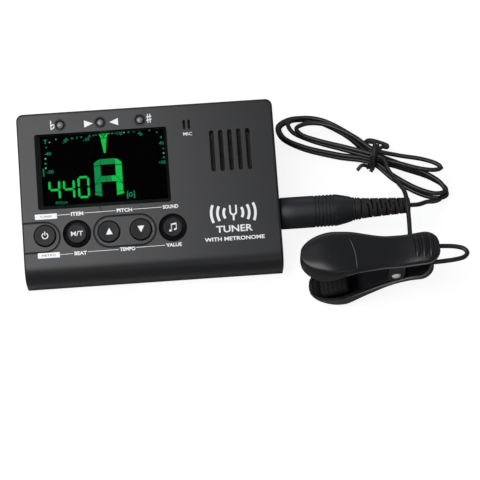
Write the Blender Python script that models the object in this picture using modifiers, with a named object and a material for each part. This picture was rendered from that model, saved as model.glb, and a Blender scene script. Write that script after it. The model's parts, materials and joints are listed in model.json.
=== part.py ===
"""A clip-on tuner: a tuner and metronome box that leans on its own stand, a spring clip that
picks up the vibration of the instrument, and the lead that plugs the clip into the box.

Run it with blender --background --python part.py, or from Blender's text editor.
The world is in metres with +Z up. Numbers below are in millimetres, and the mesh makers
turn them into metres. The world's origin is under the middle of the box's front lower edge.
Pieces of the box are placed in the box's own frame, which leans back by TILT: U across to
the right, V up the face, W out of the face."""

import math

import bmesh
import bpy
from mathutils import Matrix, Vector

MM = 0.001
GAP = 0.3

# The box.
TILT = math.radians(21)
CASE_WIDTH = 112
CASE_HEIGHT = 75
CASE_DEPTH = 20
CASE_SINK = 0.6
WALL = 1.8
SEAM = 3.6
TOP_CORNER = 3
FACE_FILLET = 1
FRONT_ROUND = 8.5

# The display.
OPENING_LOW = (-48.4, 32.2)
OPENING_HIGH = (9.1, 65.4)
OPENING_SLOPES = (2.2, 1.2, 1.8, 0.3)
LENS_MIDDLE = (-19.15, 49.6)
LENS_SIZE = (56.5, 32.6)
GLASS_MIDDLE = (-19.3, 49.75)
GLASS_SIZE = (54.4, 30.6)

# The electronics.
BOARD_BACK = 13.2
BOARD_FRONT = 14.2
BUTTON_V = 20.7
BUTTON_PITCH = 14
BUTTONS = ("power_button", "mode_button", "up_button", "down_button", "sound_button")
FIRST_BUTTON_U = -47.4
BUTTON_RADIUS = 4.6
DISHED_RADIUS = 4.2
DISH_RADIUS = 6.15
LED_V = 69.3
LEDS = {"led_flat": -37.0, "led_in_tune": -19.5, "led_sharp": -2.2}
SPEAKER = (36.5, 53)
SPEAKER_RADIUS = 13.5
SPEAKER_SLOTS = (28.6, 32.55, 36.5, 40.45, 44.4)
SPEAKER_SLOT_SIZE = (1.9, 17.6)
MICROPHONE = (18.05, 65.7)
MICROPHONE_SLOT_SIZE = (1, 4)

# The batteries, two AAA cells side by side.
CELL_RADIUS = 5.25
CELL_LENGTH = 43.7
CELL_W = 7.5
CELL_V = (10.3, 21.5)
BAY_LEFT = -53.6
DOOR_V = (4.8, 26.7)
DOOR_RIGHT = -3

# The stand.
STAND_V = 38
STAND_W = 2.2
STAND_SLOPE = math.radians(33.6)
STAND_WIDTH = 20
STAND_THICK = 1.8
POCKET_DEPTH = 4.2

SCREWS = ((-51, 70), (51, 70), (51, 6), (3.5, 6))

# The plug, along X through the box's right side.
JACK_V = 25.2
JACK_W = 9.5
PLUG_TIP_X = 23
PLUG_RADIUS = 3.175
HANDLE_START = 56.5
HANDLE_END = 92
RELIEF_END = 113.8

# The clip, with its pin along Y.
CLIP_PIN = (103.2, -9.7, 21)
JAW_OPEN = math.radians(24)
HEAD_REACH = 40.9
NOSE_LENGTH = 15
TAIL_ROUND = 4.5
SHELL_THICK = 1.5
PIN_RADIUS = 2.0
PIN_REACH = 7.8
PAD_X = (-35, -23)
PAD_HALF_WIDTH = 6
UPPER_PAD_Z = (3.2, 8)
LOWER_PAD_Z = (-4.2, -GAP)
PIEZO_THICK = 0.3

# Each half of the clip by its distance from the pin along X: half its width, the height of
# its back over the pin's axis, and that of its rim.
UPPER_HALF = {
    "width": ((-26, 10.6), (-18, 9.8), (-12, 8.7), (-5, 7.6), (2, 7.4), (18.5, 7.5)),
    "crown": ((-40.9, 11.2), (-32, 13.2), (-24, 13.1), (-12, 11.3), (-4, 10.5), (4, 10.7),
              (12, 12.2), (18.5, 12.9)),
    "rim": ((-40.9, 5.2), (-33, 4.3), (-24.5, 6.6), (-18, 8.2), (-8, 8), (0, 7.7), (8, 8.7),
            (18.5, 10.4)),
    "side": 1, "ear_radius": 3.5, "ear_faces": (5.85, 7.5), "ear_root": 9.2}
LOWER_HALF = {
    "width": ((-26, 10), (-12, 8.2), (-5, 7.3), (2, 7.2), (14, 7.2)),
    "crown": ((-40.9, 3.8), (-28, 9.6), (-16, 8.6), (-5, 8), (2, 8.6), (9.2, 10.8), (14, 12)),
    "rim": ((-40.9, 2.2), (-30, 2.6), (-12, 3.4), (-5, 4.4), (4, 4.4), (10.8, 6.6), (14, 7.4)),
    "side": -1, "ear_radius": 3.4, "ear_faces": (4, 5.4), "ear_root": 7.8}

# The lead.
CABLE_RADIUS = 1.0
LAYER = 2.5
TIE_AT = (102, 53)
BUNDLE_TURN = math.radians(-22)


def collection(name, hidden=False):
    made = bpy.data.collections.new(name)
    bpy.context.scene.collection.children.link(made)
    made.hide_render = hidden
    return made


def clear_scene():
    for obj in list(bpy.data.objects):
        bpy.data.objects.remove(obj, do_unlink=True)


clear_scene()
PARTS = collection("clip_on_tuner")
CUTTERS = collection("cutters", hidden=True)


def empty(name, place):
    made = bpy.data.objects.new(name, None)
    made.matrix_world = place
    PARTS.objects.link(made)
    return made


def case_axis_point(v, w):
    """World Y and Z of a point of the box's frame, in millimetres."""
    y = v * math.cos(TILT) - w * math.sin(TILT)
    z = v * math.sin(TILT) + w * math.cos(TILT) - CASE_SINK
    return y, z


# ---------------------------------------------------------------- materials

def material(name, colour, roughness, metallic=0.0, alpha=1.0, glow=0.0):
    made = bpy.data.materials.new(name)
    made.use_nodes = True
    shader = made.node_tree.nodes["Principled BSDF"]
    shader.inputs["Base Color"].default_value = (*colour, 1)
    shader.inputs["Roughness"].default_value = roughness
    shader.inputs["Metallic"].default_value = metallic
    shader.inputs["Alpha"].default_value = alpha
    shader.inputs["Emission Color"].default_value = (*colour, 1)
    shader.inputs["Emission Strength"].default_value = glow
    return made


CASE_BLACK = material("case_black", (0.035, 0.036, 0.04), 0.38)
BUTTON_BLACK = material("button_black", (0.02, 0.02, 0.022), 0.5)
SCREEN_BLACK = material("screen_black", (0.01, 0.01, 0.012), 0.08, alpha=0.4)
DISPLAY_GREEN = material("display_green", (0.01, 0.35, 0.07), 0.3, glow=0.4)
CLEAR_LENS = material("clear_lens", (0.7, 0.72, 0.74), 0.1)
BOARD_GREEN = material("board_green", (0.02, 0.18, 0.06), 0.5)
CHIP_BLACK = material("chip_black", (0.02, 0.02, 0.02), 0.6)
STEEL = material("steel", (0.6, 0.6, 0.58), 0.3, metallic=1)
CHROME = material("chrome", (0.8, 0.8, 0.8), 0.1, metallic=1)
BRASS = material("brass", (0.75, 0.6, 0.25), 0.3, metallic=1)
CERAMIC = material("ceramic_white", (0.85, 0.85, 0.82), 0.5)
PAPER_BLACK = material("speaker_cone", (0.03, 0.03, 0.03), 0.9)
CELL_GREY = material("cell_jacket", (0.3, 0.31, 0.33), 0.35)
PLUG_BLACK = material("plug_black", (0.03, 0.031, 0.035), 0.45)
RUBBER = material("rubber_black", (0.018, 0.018, 0.018), 0.8)
CLIP_BLACK = material("clip_black", (0.03, 0.03, 0.032), 0.3)
CABLE_BLACK = material("cable_black", (0.02, 0.02, 0.022), 0.5)
INSULATOR_BLACK = material("insulator_black", (0.02, 0.02, 0.02), 0.6)


# ------------------------------------------------------------- mesh makers

def put(name, data, look=None, parent=None, at=(0, 0, 0), turn=None):
    """Adds an object at a place in millimetres. Without a material it is a cutter."""
    made = bpy.data.objects.new(name, data)
    made.parent = parent
    place = Matrix.Translation(Vector(at) * MM)
    if turn is not None:
        place = place @ turn.to_4x4()
    made.matrix_local = place
    if look is None:
        made.display_type = "WIRE"
        made.hide_render = True
        CUTTERS.objects.link(made)
    else:
        data.materials.append(look)
        PARTS.objects.link(made)
    return made


def mesh_of(bm, name):
    bmesh.ops.scale(bm, vec=(MM, MM, MM), verts=bm.verts)
    bmesh.ops.recalc_face_normals(bm, faces=bm.faces)
    mesh = bpy.data.meshes.new(name)
    bm.to_mesh(mesh)
    bm.free()
    return mesh


def block(name, low, high, look=None, parent=None, at=(0, 0, 0), turn=None,
          spread=(0, 0, 0, 0), edge=0):
    """A box between two corners. Its top spreads to the left, right, front and back, and edge
    rounds its edges."""
    left, right, front, rear = spread
    bm = bmesh.new()
    bmesh.ops.create_cube(bm, size=1)
    size = [b - a for a, b in zip(low, high)]
    middle = [(a + b) / 2 for a, b in zip(low, high)]
    bmesh.ops.scale(bm, vec=size, verts=bm.verts)
    bmesh.ops.translate(bm, vec=middle, verts=bm.verts)
    for vert in bm.verts:
        if vert.co.z > middle[2]:
            vert.co.x += right if vert.co.x > middle[0] else -left
            vert.co.y += rear if vert.co.y > middle[1] else -front
    made = put(name, mesh_of(bm, name), look, parent, at, turn)
    if edge:
        bevel = made.modifiers.new("rounded_edges", "BEVEL")
        bevel.width = edge * MM
        bevel.segments = 2
    return made


def cylinder(name, radius, low, high, look=None, parent=None, at=(0, 0, 0), turn=None,
             top=None, sides=24):
    """A cylinder along Z, or a cone when top gives another radius for its upper end."""
    bm = bmesh.new()
    upper = radius if top is None else top
    lift = Matrix.Translation((0, 0, (low + high) / 2))
    bmesh.ops.create_cone(bm, cap_ends=True, segments=sides, radius1=radius, radius2=upper,
                          depth=high - low, matrix=lift)
    mesh = mesh_of(bm, name)
    made = put(name, mesh, look, parent, at, turn)
    smooth(made)
    return made


def smooth(obj):
    obj.data.shade_smooth()
    obj.data.set_sharp_from_angle(angle=math.radians(35))


def turned(name, profile, look=None, parent=None, at=(0, 0, 0), turn=None, steps=20):
    """A solid turned about Z from (radius, height) points that run from its top down."""
    mesh = bpy.data.meshes.new(name)
    points = [(r * MM, 0, z * MM) for r, z in profile]
    edges = [(i, i + 1) for i in range(len(points) - 1)]
    if profile[0] == profile[-1]:
        points.pop()
        edges[-1] = (len(points) - 1, 0)
    mesh.from_pydata(points, edges, [])
    made = put(name, mesh, look, parent, at, turn)
    screw = made.modifiers.new("turned", "SCREW")
    screw.steps = steps
    screw.render_steps = steps
    screw.use_merge_vertices = True
    screw.merge_threshold = 0.00001
    screw.use_smooth_shade = True
    return made


def plate(name, outline, low, high, look=None, parent=None, at=(0, 0, 0), turn=None):
    """A flat outline, given by its corner points, with its thickness from low to high."""
    curve = bpy.data.curves.new(name, "CURVE")
    curve.dimensions = "2D"
    curve.fill_mode = "BOTH"
    curve.extrude = (high - low) / 2 * MM
    line = curve.splines.new("POLY")
    line.points.add(len(outline) - 1)
    for point, (x, y) in zip(line.points, outline):
        point.co = (x * MM, y * MM, 0, 1)
    line.use_cyclic_u = True
    mesh = mesh_from_curve(name, curve)
    mesh.transform(Matrix.Translation((0, 0, (low + high) / 2 * MM)))
    return put(name, mesh, look, parent, at, turn)


def wire(name, points, radius, look, parent=None, at=(0, 0, 0)):
    """A round wire through points."""
    curve = bpy.data.curves.new(name, "CURVE")
    curve.dimensions = "3D"
    curve.bevel_depth = radius * MM
    curve.bevel_resolution = 2
    curve.use_fill_caps = True
    line = curve.splines.new("POLY")
    line.points.add(len(points) - 1)
    for point, place in zip(line.points, points):
        point.co = (*(Vector(place) * MM), 1)
    line.use_smooth = True
    mesh = mesh_from_curve(name, curve)
    return put(name, mesh, look, parent, at)


def mesh_from_curve(name, curve):
    guide = bpy.data.objects.new(name + "_guide", curve)
    bpy.context.scene.collection.objects.link(guide)
    graph = bpy.context.evaluated_depsgraph_get()
    mesh = bpy.data.meshes.new_from_object(guide.evaluated_get(graph))
    bpy.data.objects.remove(guide)
    bpy.data.curves.remove(curve)
    bm = bmesh.new()
    bm.from_mesh(mesh)
    bmesh.ops.remove_doubles(bm, verts=bm.verts, dist=0.000001)
    bmesh.ops.recalc_face_normals(bm, faces=bm.faces)
    bm.to_mesh(mesh)
    bm.free()
    mesh.name = name
    return mesh


def boolean(obj, other, operation):
    made = obj.modifiers.new(other.name, "BOOLEAN")
    made.operation = operation
    made.object = other
    return made


def cut(obj, *cutters):
    for cutter in cutters:
        boolean(obj, cutter, "DIFFERENCE")


def join(obj, *others):
    for other in others:
        boolean(obj, other, "UNION")


def arc(middle, radius, start, end, steps):
    """Points on an arc, with its angles in degrees."""
    angles = [math.radians(start + (end - start) * i / steps) for i in range(steps + 1)]
    return [(middle[0] + radius * math.cos(a), middle[1] + radius * math.sin(a)) for a in angles]


def slot_outline(middle, width, height, steps=4):
    """An upright slot with round ends."""
    x, y = middle
    radius = width / 2
    reach = height / 2 - radius
    return arc((x, y + reach), radius, 0, 180, steps) + arc((x, y - reach), radius, 180, 360, steps)


ALONG_X = Matrix.Rotation(math.radians(90), 3, "Y")
ALONG_Y = Matrix.Rotation(math.radians(-90), 3, "X")
SECTION_XZ = Matrix.Rotation(math.radians(90), 3, "X")
SECTION_YZ = Matrix(((0, 0, 1), (1, 0, 0), (0, 1, 0)))

CASE_PLACE = Matrix.Translation((0, 0, -CASE_SINK * MM)) @ Matrix.Rotation(TILT, 4, "X")
CASE = empty("case_frame", CASE_PLACE)


# ----------------------------------------------------------------- the box

def upright_edges(bm, v):
    """The edges along W at a given V."""
    def is_upright(edge):
        a, b = (vert.co for vert in edge.verts)
        level = abs(a.y - v) < 0.01 and abs(b.y - v) < 0.01
        return level and abs(a.x - b.x) < 0.01 and abs(a.z - b.z) > 1
    return [edge for edge in bm.edges if is_upright(edge)]


def case_form(name, inset, back, look=None, fillet=0):
    """The box's outer form moved in by inset, from W = back up to its face: round corners at
    the top, and a broad round along the front of the face."""
    right = CASE_WIDTH / 2 - inset
    top = CASE_HEIGHT - inset
    face = CASE_DEPTH - inset
    bm = bmesh.new()
    bmesh.ops.create_cube(bm, size=1)
    bmesh.ops.scale(bm, vec=(2 * right, top - inset, face - back), verts=bm.verts)
    bmesh.ops.translate(bm, vec=(0, (top + inset) / 2, (face + back) / 2), verts=bm.verts)
    bmesh.ops.bevel(bm, geom=upright_edges(bm, top), offset=TOP_CORNER - inset, segments=4,
                    profile=0.5, affect="EDGES")
    front = [e for e in bm.edges
             if all(abs(v.co.y - inset) < 0.01 and abs(v.co.z - face) < 0.01 for v in e.verts)]
    bmesh.ops.bevel(bm, geom=front, offset=FRONT_ROUND - inset, segments=8, profile=0.5,
                    affect="EDGES")
    if fillet:
        def on_rim(edge):
            if len(edge.link_faces) != 2:
                return False
            turn = edge.calc_face_angle(0)
            a, b = (vert.co for vert in edge.verts)
            rises = min(a.z, b.z) > back + 0.01
            side_on = any(abs(face.normal.z) < 0.01 and abs(face.normal.y) < 0.999
                          or face.normal.y > 0.999 for face in edge.link_faces)
            return turn > math.radians(50) and rises and side_on
        bmesh.ops.bevel(bm, geom=[e for e in bm.edges if on_rim(e)], offset=fillet, segments=2,
                        profile=0.5, affect="EDGES")
    return put(name, mesh_of(bm, name), look, CASE)


def jack_hole(radius, start, end):
    """A cutter along the plug's axis."""
    at = (0, JACK_V, JACK_W)
    return cylinder("jack_hole", radius, start, end, parent=CASE, at=at, turn=ALONG_X)


def front_cover():
    cover = case_form("front_cover", 0, SEAM, CASE_BLACK, FACE_FILLET)
    cut(cover, case_form("front_cavity", WALL, SEAM - 1))
    inner_face = CASE_DEPTH - WALL
    for u, v in SCREWS:
        post = cylinder("screw_post", 2.6, WALL + GAP, inner_face + 0.2, parent=CASE,
                        at=(u, v, 0), sides=16)
        pilot = cylinder("screw_pilot", 1.3, 1, 13.3, parent=CASE, at=(u, v, 0), sides=12)
        join(cover, post)
        cut(cover, pilot)
    cut(cover, display_opening())
    for name, u in LEDS.items():
        at = (u, LED_V, CASE_DEPTH)
        hole = cylinder(name + "_hole", 1.85, -3, 1, parent=CASE, at=at, sides=16)
        rim = cylinder(name + "_rim", 1.8, -0.6, 0.1, parent=CASE, at=at, top=2.5, sides=16)
        cut(cover, hole, rim)
    for u in SPEAKER_SLOTS:
        slot = slot_outline((u, SPEAKER[1]), *SPEAKER_SLOT_SIZE)
        cut(cover, plate("speaker_slot", slot, 17, 21, parent=CASE))
    for u in (MICROPHONE[0] - 1.05, MICROPHONE[0] + 1.05):
        slit = slot_outline((u, MICROPHONE[1]), *MICROPHONE_SLOT_SIZE, 2)
        cut(cover, plate("microphone_slot", slit, 17, 21, parent=CASE))
    for name, u in button_places():
        at = (u, BUTTON_V, CASE_DEPTH)
        radius = button_radius(name) + GAP
        cut(cover, cylinder(name + "_hole", radius, -3, 1, parent=CASE, at=at))
        if is_dished(name):
            dish = cylinder(name + "_dish", radius, -1, 0.05, parent=CASE, at=at, top=DISH_RADIUS)
            cut(cover, dish)
    cut(cover, jack_hole(4.8, 50, 60))
    return cover


def display_opening():
    """A cutter for the display, whose four walls slope in by different amounts."""
    over = 0.2
    deep = WALL + over
    left, right, front, rear = [slope / WALL for slope in OPENING_SLOPES]
    low = (OPENING_LOW[0] + left * deep, OPENING_LOW[1] + front * deep, CASE_DEPTH - deep)
    high = (OPENING_HIGH[0] - right * deep, OPENING_HIGH[1] - rear * deep, CASE_DEPTH + over)
    spread = [rate * (deep + over) for rate in (left, right, front, rear)]
    return block("display_opening", low, high, parent=CASE, spread=spread)


def button_places():
    return [(name, FIRST_BUTTON_U + BUTTON_PITCH * i) for i, name in enumerate(BUTTONS)]


def is_dished(name):
    return name in ("mode_button", "sound_button")


def button_radius(name):
    return DISHED_RADIUS if is_dished(name) else BUTTON_RADIUS


def buttons():
    """Each button has a low crown, a flange that keeps it under the cover, and a stem."""
    for name, u in button_places():
        radius = button_radius(name)
        flange = radius + 0.9
        under = -WALL - GAP
        profile = [(0, 0.9), (radius * 0.6, 0.8), (radius - 0.4, 0.45), (radius, 0),
                   (radius, under), (flange, under), (flange, under - 0.9), (1.5, under - 0.9),
                   (1.5, under - 1.6), (0, under - 1.6)]
        turned(name, profile, BUTTON_BLACK, CASE, (u, BUTTON_V, CASE_DEPTH))
        switch = name.replace("button", "switch")
        body = block(switch, (-2.6, -2.6, BOARD_FRONT + GAP), (2.6, 2.6, 15.1), CHIP_BLACK,
                     CASE, (u, BUTTON_V, 0))
        join(body, cylinder(switch + "_dome", 1.2, 15, 15.4, parent=CASE, at=(u, BUTTON_V, 0),
                            sides=16))


def leds():
    """Three round lamps with domed tops and a flange on the board."""
    for name, u in LEDS.items():
        base = BOARD_FRONT + GAP
        top = CASE_DEPTH + 0.3
        dome = [(1.5 * math.sin(a), top - 1.5 + 1.5 * math.cos(a))
                for a in (math.radians(15 * i) for i in range(7))]
        profile = dome + [(1.5, base + 0.8), (1.9, base + 0.8), (1.9, base), (0, base)]
        turned(name, profile, CLEAR_LENS, CASE, (u, LED_V, 0), steps=16)


def rectangle(middle, size):
    (x, y), (width, height) = middle, size
    return (x - width / 2, y - height / 2), (x + width / 2, y + height / 2)


def slab(name, middle, size, low, high, look, edge=0):
    (u0, v0), (u1, v1) = rectangle(middle, size)
    return block(name, (u0, v0, low), (u1, v1, high), look, CASE, edge=edge)


def display():
    """The clear window, the glass cell, its light guide and contact strip in their holder."""
    slab("display_window", LENS_MIDDLE, LENS_SIZE, 16.9, 17.9, SCREEN_BLACK)
    slab("display_glass", GLASS_MIDDLE, GLASS_SIZE, 15.5, 16.6, DISPLAY_GREEN)
    u, v = GLASS_MIDDLE
    low = BOARD_FRONT + GAP
    holder = slab("display_holder", LENS_MIDDLE, LENS_SIZE, low, 16.6, CHIP_BLACK)
    inside = (GLASS_SIZE[0] + 2 * GAP, GLASS_SIZE[1] + 2 * GAP)
    cut(holder, slab("holder_opening", GLASS_MIDDLE, inside, 14, 17, None))
    strip = 2.4
    guide_height = GLASS_SIZE[1] - strip - GAP
    guide_v = v + (strip + GAP) / 2
    slab("light_guide", (u, guide_v), (GLASS_SIZE[0], guide_height), low, 15.2, CLEAR_LENS)
    strip_v = v - GLASS_SIZE[1] / 2 + strip / 2
    slab("contact_strip", (u, strip_v), (GLASS_SIZE[0] - 4, strip), low, 15.2, RUBBER)


def circuit_board():
    outline = [(-48, 9.2), (15, 9.2), (15, 60), (22, 60), (22, 72), (-47.5, 72), (-48, 71.5)]
    plate("circuit_board", outline, BOARD_BACK, BOARD_FRONT, BOARD_GREEN, CASE)
    block("controller_chip", (-26, 44, 11.4), (-14, 56, BOARD_BACK - GAP), CHIP_BLACK, CASE)


def speaker():
    """A basket with its magnet, and the paper cone inside it."""
    u, v = SPEAKER
    top = CASE_DEPTH - WALL - GAP
    rim = SPEAKER_RADIUS
    basket = [(rim - 1.5, top), (rim, top), (rim, top - 1), (10.5, 13.5), (6.5, 13), (6.5, 9.5),
              (0, 9.5), (0, 13.8), (9.8, 14.3), (rim - 1.5, 16.6), (rim - 1.5, top)]
    turned("speaker_basket", basket, STEEL, CASE, (u, v, 0))
    edge = rim - 1.5 - GAP
    cone = [(0, 16.4), (3.2, 16.1), (4, 15.6), (9.5, 17.2), (10.6, 17.7), (edge, 17.2),
            (edge, 16.9), (10.6, 17.2), (9.5, 16.7), (4, 15.0), (0, 15.0)]
    turned("speaker_cone", cone, PAPER_BLACK, CASE, (u, v, 0))


def microphone():
    u, v = MICROPHONE
    low = BOARD_FRONT + GAP
    cup = [(0, 17.6), (0.9, 17.6), (0.9, 17.9), (2.9, 17.9), (3, 17.7), (3, low), (0, low)]
    turned("microphone", cup, STEEL, CASE, (u, v, 0), steps=20)


def input_jack():
    """The socket for the plug: a housing with a round nose in the box's side wall."""
    at = (0, JACK_V, JACK_W)
    low = (20, -6.8, -5.2)
    high = (CASE_WIDTH / 2 - WALL - GAP, 6.8, 5.2)
    jack = block("input_jack", low, high, INSULATOR_BLACK, CASE, at)
    nose = cylinder("jack_nose", 4.5, high[0] - 1, CASE_WIDTH / 2 - 0.1, parent=CASE, at=at,
                    turn=ALONG_X)
    join(jack, nose)
    cut(jack, jack_hole(PLUG_RADIUS + GAP, 21.5, 60))
    window = block("jack_window", (24, 0, -1.6), (34, 8, 1.6), parent=CASE, at=at)
    cut(jack, window)
    outline = [(22, 7.2), (27.2, 7.2), (28.6, 4.4), (30, 4.4), (31.4, 7.2), (40, 7.2),
               (40, 7.6), (31.1, 7.6), (29.7, 4.8), (28.9, 4.8), (27.5, 7.6), (22, 7.6)]
    plate("jack_contact", outline, -1.2, 1.2, STEEL, CASE, at)


def batteries():
    """Two AAA cells head to tail, with a spring at each minus end and contact plates."""
    plus_left = BAY_LEFT + 0.4 + GAP
    spring = 4.2
    right = plus_left + 0.8 + CELL_LENGTH + spring + 2 * GAP
    for i, v in enumerate(CELL_V):
        leftwards = i == 0
        nub = plus_left if leftwards else right - GAP
        turn = Matrix.Rotation(math.radians(-90 if leftwards else 90), 3, "Y")
        profile = [(0, 0), (1.9, 0), (1.9, -0.8), (CELL_RADIUS - 0.4, -0.8), (CELL_RADIUS, -1.2),
                   (CELL_RADIUS, -CELL_LENGTH - 0.4), (CELL_RADIUS - 0.4, -CELL_LENGTH - 0.8),
                   (0, -CELL_LENGTH - 0.8)]
        turned(f"battery_{i + 1}", profile, CELL_GREY, CASE, (nub, v, CELL_W), turn, steps=24)
        start = nub + 0.8 + CELL_LENGTH + GAP if leftwards else BAY_LEFT + 0.4 + GAP
        coil(f"battery_spring_{i + 1}", start, spring - GAP, v)
    v0, v1 = CELL_V
    block("battery_bridge", (BAY_LEFT, v0 - 4, 3), (BAY_LEFT + 0.4, v1 + 4, 11.5), STEEL, CASE)
    block("battery_contact_minus", (right, v0 - 4, 3), (right + 0.4, v0 + 4, 11.5), STEEL, CASE)
    block("battery_contact_plus", (right, v1 - 4, 3), (right + 0.4, v1 + 4, 11.5), STEEL, CASE)
    return right + 0.4


def coil(name, start, length, v):
    turns = 2.5
    steps = 25
    radius = 2.6
    points = []
    for i in range(steps + 1):
        t = i / steps
        angle = 2 * math.pi * turns * t
        u = start + 0.3 + (length - 0.6) * t
        points.append((u, v + radius * math.cos(angle), CELL_W + radius * math.sin(angle)))
    wire(name, points, 0.28, STEEL, CASE)


def rear_cover(bay_right):
    """The back of the box: a tray with ribs for the cells, a pocket for the stand, an opening
    for the battery door and holes for the screws."""
    half = CASE_WIDTH / 2
    back = SEAM - GAP
    cover = block("rear_cover", (-half, 0, 0), (half, CASE_HEIGHT, back), CASE_BLACK, CASE)
    hollow = block("rear_hollow", (-half + WALL, WALL, WALL), (half - WALL, CASE_HEIGHT - WALL, 9),
                   parent=CASE)
    cut(cover, hollow)
    pocket_top = STAND_V + STAND_LENGTH + 1.5
    wide = STAND_WIDTH / 2 + 0.6
    pan = block("pocket_pan", (-wide - 3, STAND_V - 6, 0.5),
                (wide + 3, pocket_top + 2, POCKET_DEPTH + 1.6), parent=CASE)
    pocket = block("stand_pocket", (-wide, STAND_V - 3.6, -1), (wide, pocket_top, POCKET_DEPTH + 0.3),
                   parent=CASE)
    notch = cylinder("finger_notch", 5, -1, 2.4, parent=CASE, at=(0, pocket_top, 0))
    join(cover, pan)
    cut(cover, pocket, notch)
    low, high = DOOR_V
    rib_right = block("bay_end_rib", (bay_right + GAP, 3, 1), (bay_right + GAP + 1.2, 28, 12.6),
                      parent=CASE)
    rib_top = block("bay_side_rib", (-53, 27.2, 1), (bay_right + 0.5, 28.4, 12.6), parent=CASE)
    join(cover, rib_right, rib_top)
    cut(cover, block("door_opening", (-60, low - GAP, -1), (DOOR_RIGHT + GAP, high + GAP, WALL + GAP),
                     parent=CASE))
    for u, v in SCREWS:
        hole = cylinder("screw_hole", 1.3, -1, 3, parent=CASE, at=(u, v, 0), sides=16)
        seat = cylinder("screw_seat", 2.5, -1, 1, parent=CASE, at=(u, v, 0), sides=16)
        cut(cover, hole, seat)
    pin_y = STAND_WIDTH / 2 + 2.4
    cut(cover, cylinder("pin_hole", 1.1, -pin_y, pin_y, parent=CASE, at=(0, STAND_V, STAND_W),
                        turn=ALONG_X, sides=16))
    corner = CASE_HEIGHT - TOP_CORNER
    for side in (-1, 1):
        outline = [(side * (half + 1), corner), (side * (half + 1), CASE_HEIGHT + 1),
                   (side * (half - TOP_CORNER), CASE_HEIGHT + 1)]
        start, end = (90, 0) if side > 0 else (90, 180)
        outline += arc((side * (half - TOP_CORNER), corner), TOP_CORNER, start, end, 4)
        cut(cover, plate("corner_round", outline, -1, 5, parent=CASE))
    cut(cover, block("heel_flat", (-60, -4, -4), (60, 6, 0)))
    return cover


def battery_door():
    """The door slides off to the left, and has ridges for the thumb."""
    low, high = DOOR_V
    left = -CASE_WIDTH / 2 + 0.1
    door = block("battery_door", (left, low, 0), (DOOR_RIGHT, high, WALL), CASE_BLACK, CASE)
    for i in range(3):
        u = left + 6 + 2 * i
        cut(door, block("door_ridge", (u, low + 5, -1), (u + 0.8, high - 5, 0.5), parent=CASE))


def case_screws():
    for i, (u, v) in enumerate(SCREWS):
        screw = turned(f"case_screw_{i + 1}", screw_profile(), STEEL, CASE, (u, v, 0), steps=12)
        for turn in (0, 90):
            bit = block("driver_slot", (-1.3, -0.25, -1), (1.3, 0.25, 0.6), parent=CASE, at=(u, v, 0),
                        turn=Matrix.Rotation(math.radians(turn), 3, "Z"))
            cut(screw, bit)


def screw_profile():
    """Point, shank, head and the head's rounded edge."""
    return [(0, 12.8), (1, 12), (1, 0.7), (2.1, 0.7), (2.1, 0.4), (1.7, 0.1), (0, 0.1)]


def stand():
    """A flat leg that turns about a steel pin. It is open, and its foot is cut level."""
    y, z = case_axis_point(STAND_V, STAND_W)
    half = STAND_THICK / 2
    along = Vector((math.cos(STAND_SLOPE), -math.sin(STAND_SLOPE)))
    across = Vector((math.sin(STAND_SLOPE), math.cos(STAND_SLOPE)))
    hub = 1.9
    lean = math.degrees(STAND_SLOPE)
    spread = math.degrees(math.asin(half / hub))
    outline = arc((0, 0), hub, spread - lean, 360 - spread - lean, 12)
    for side in (-1, 1):
        start = across * half * side
        reach = (start.y + z) / math.sin(STAND_SLOPE)
        foot = start + along * reach
        outline.append((foot.x, foot.y))
    place = empty("stand_axis", Matrix.Translation((0, y * MM, z * MM)))
    wide = STAND_WIDTH / 2
    leg = plate("stand_leg", outline, -wide, wide, CASE_BLACK, place, turn=SECTION_YZ)
    cut(leg, cylinder("stand_bore", 1.1, -20, 20, parent=place, turn=ALONG_X, sides=16))
    pin = STAND_WIDTH / 2 + 2.1
    cylinder("stand_pin", 0.8, -pin, pin, STEEL, CASE, (0, STAND_V, STAND_W), ALONG_X, sides=16)


STAND_LENGTH = case_axis_point(STAND_V, STAND_W)[1] / math.sin(STAND_SLOPE) + 1.5


# ---------------------------------------------------------------- the plug

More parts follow.
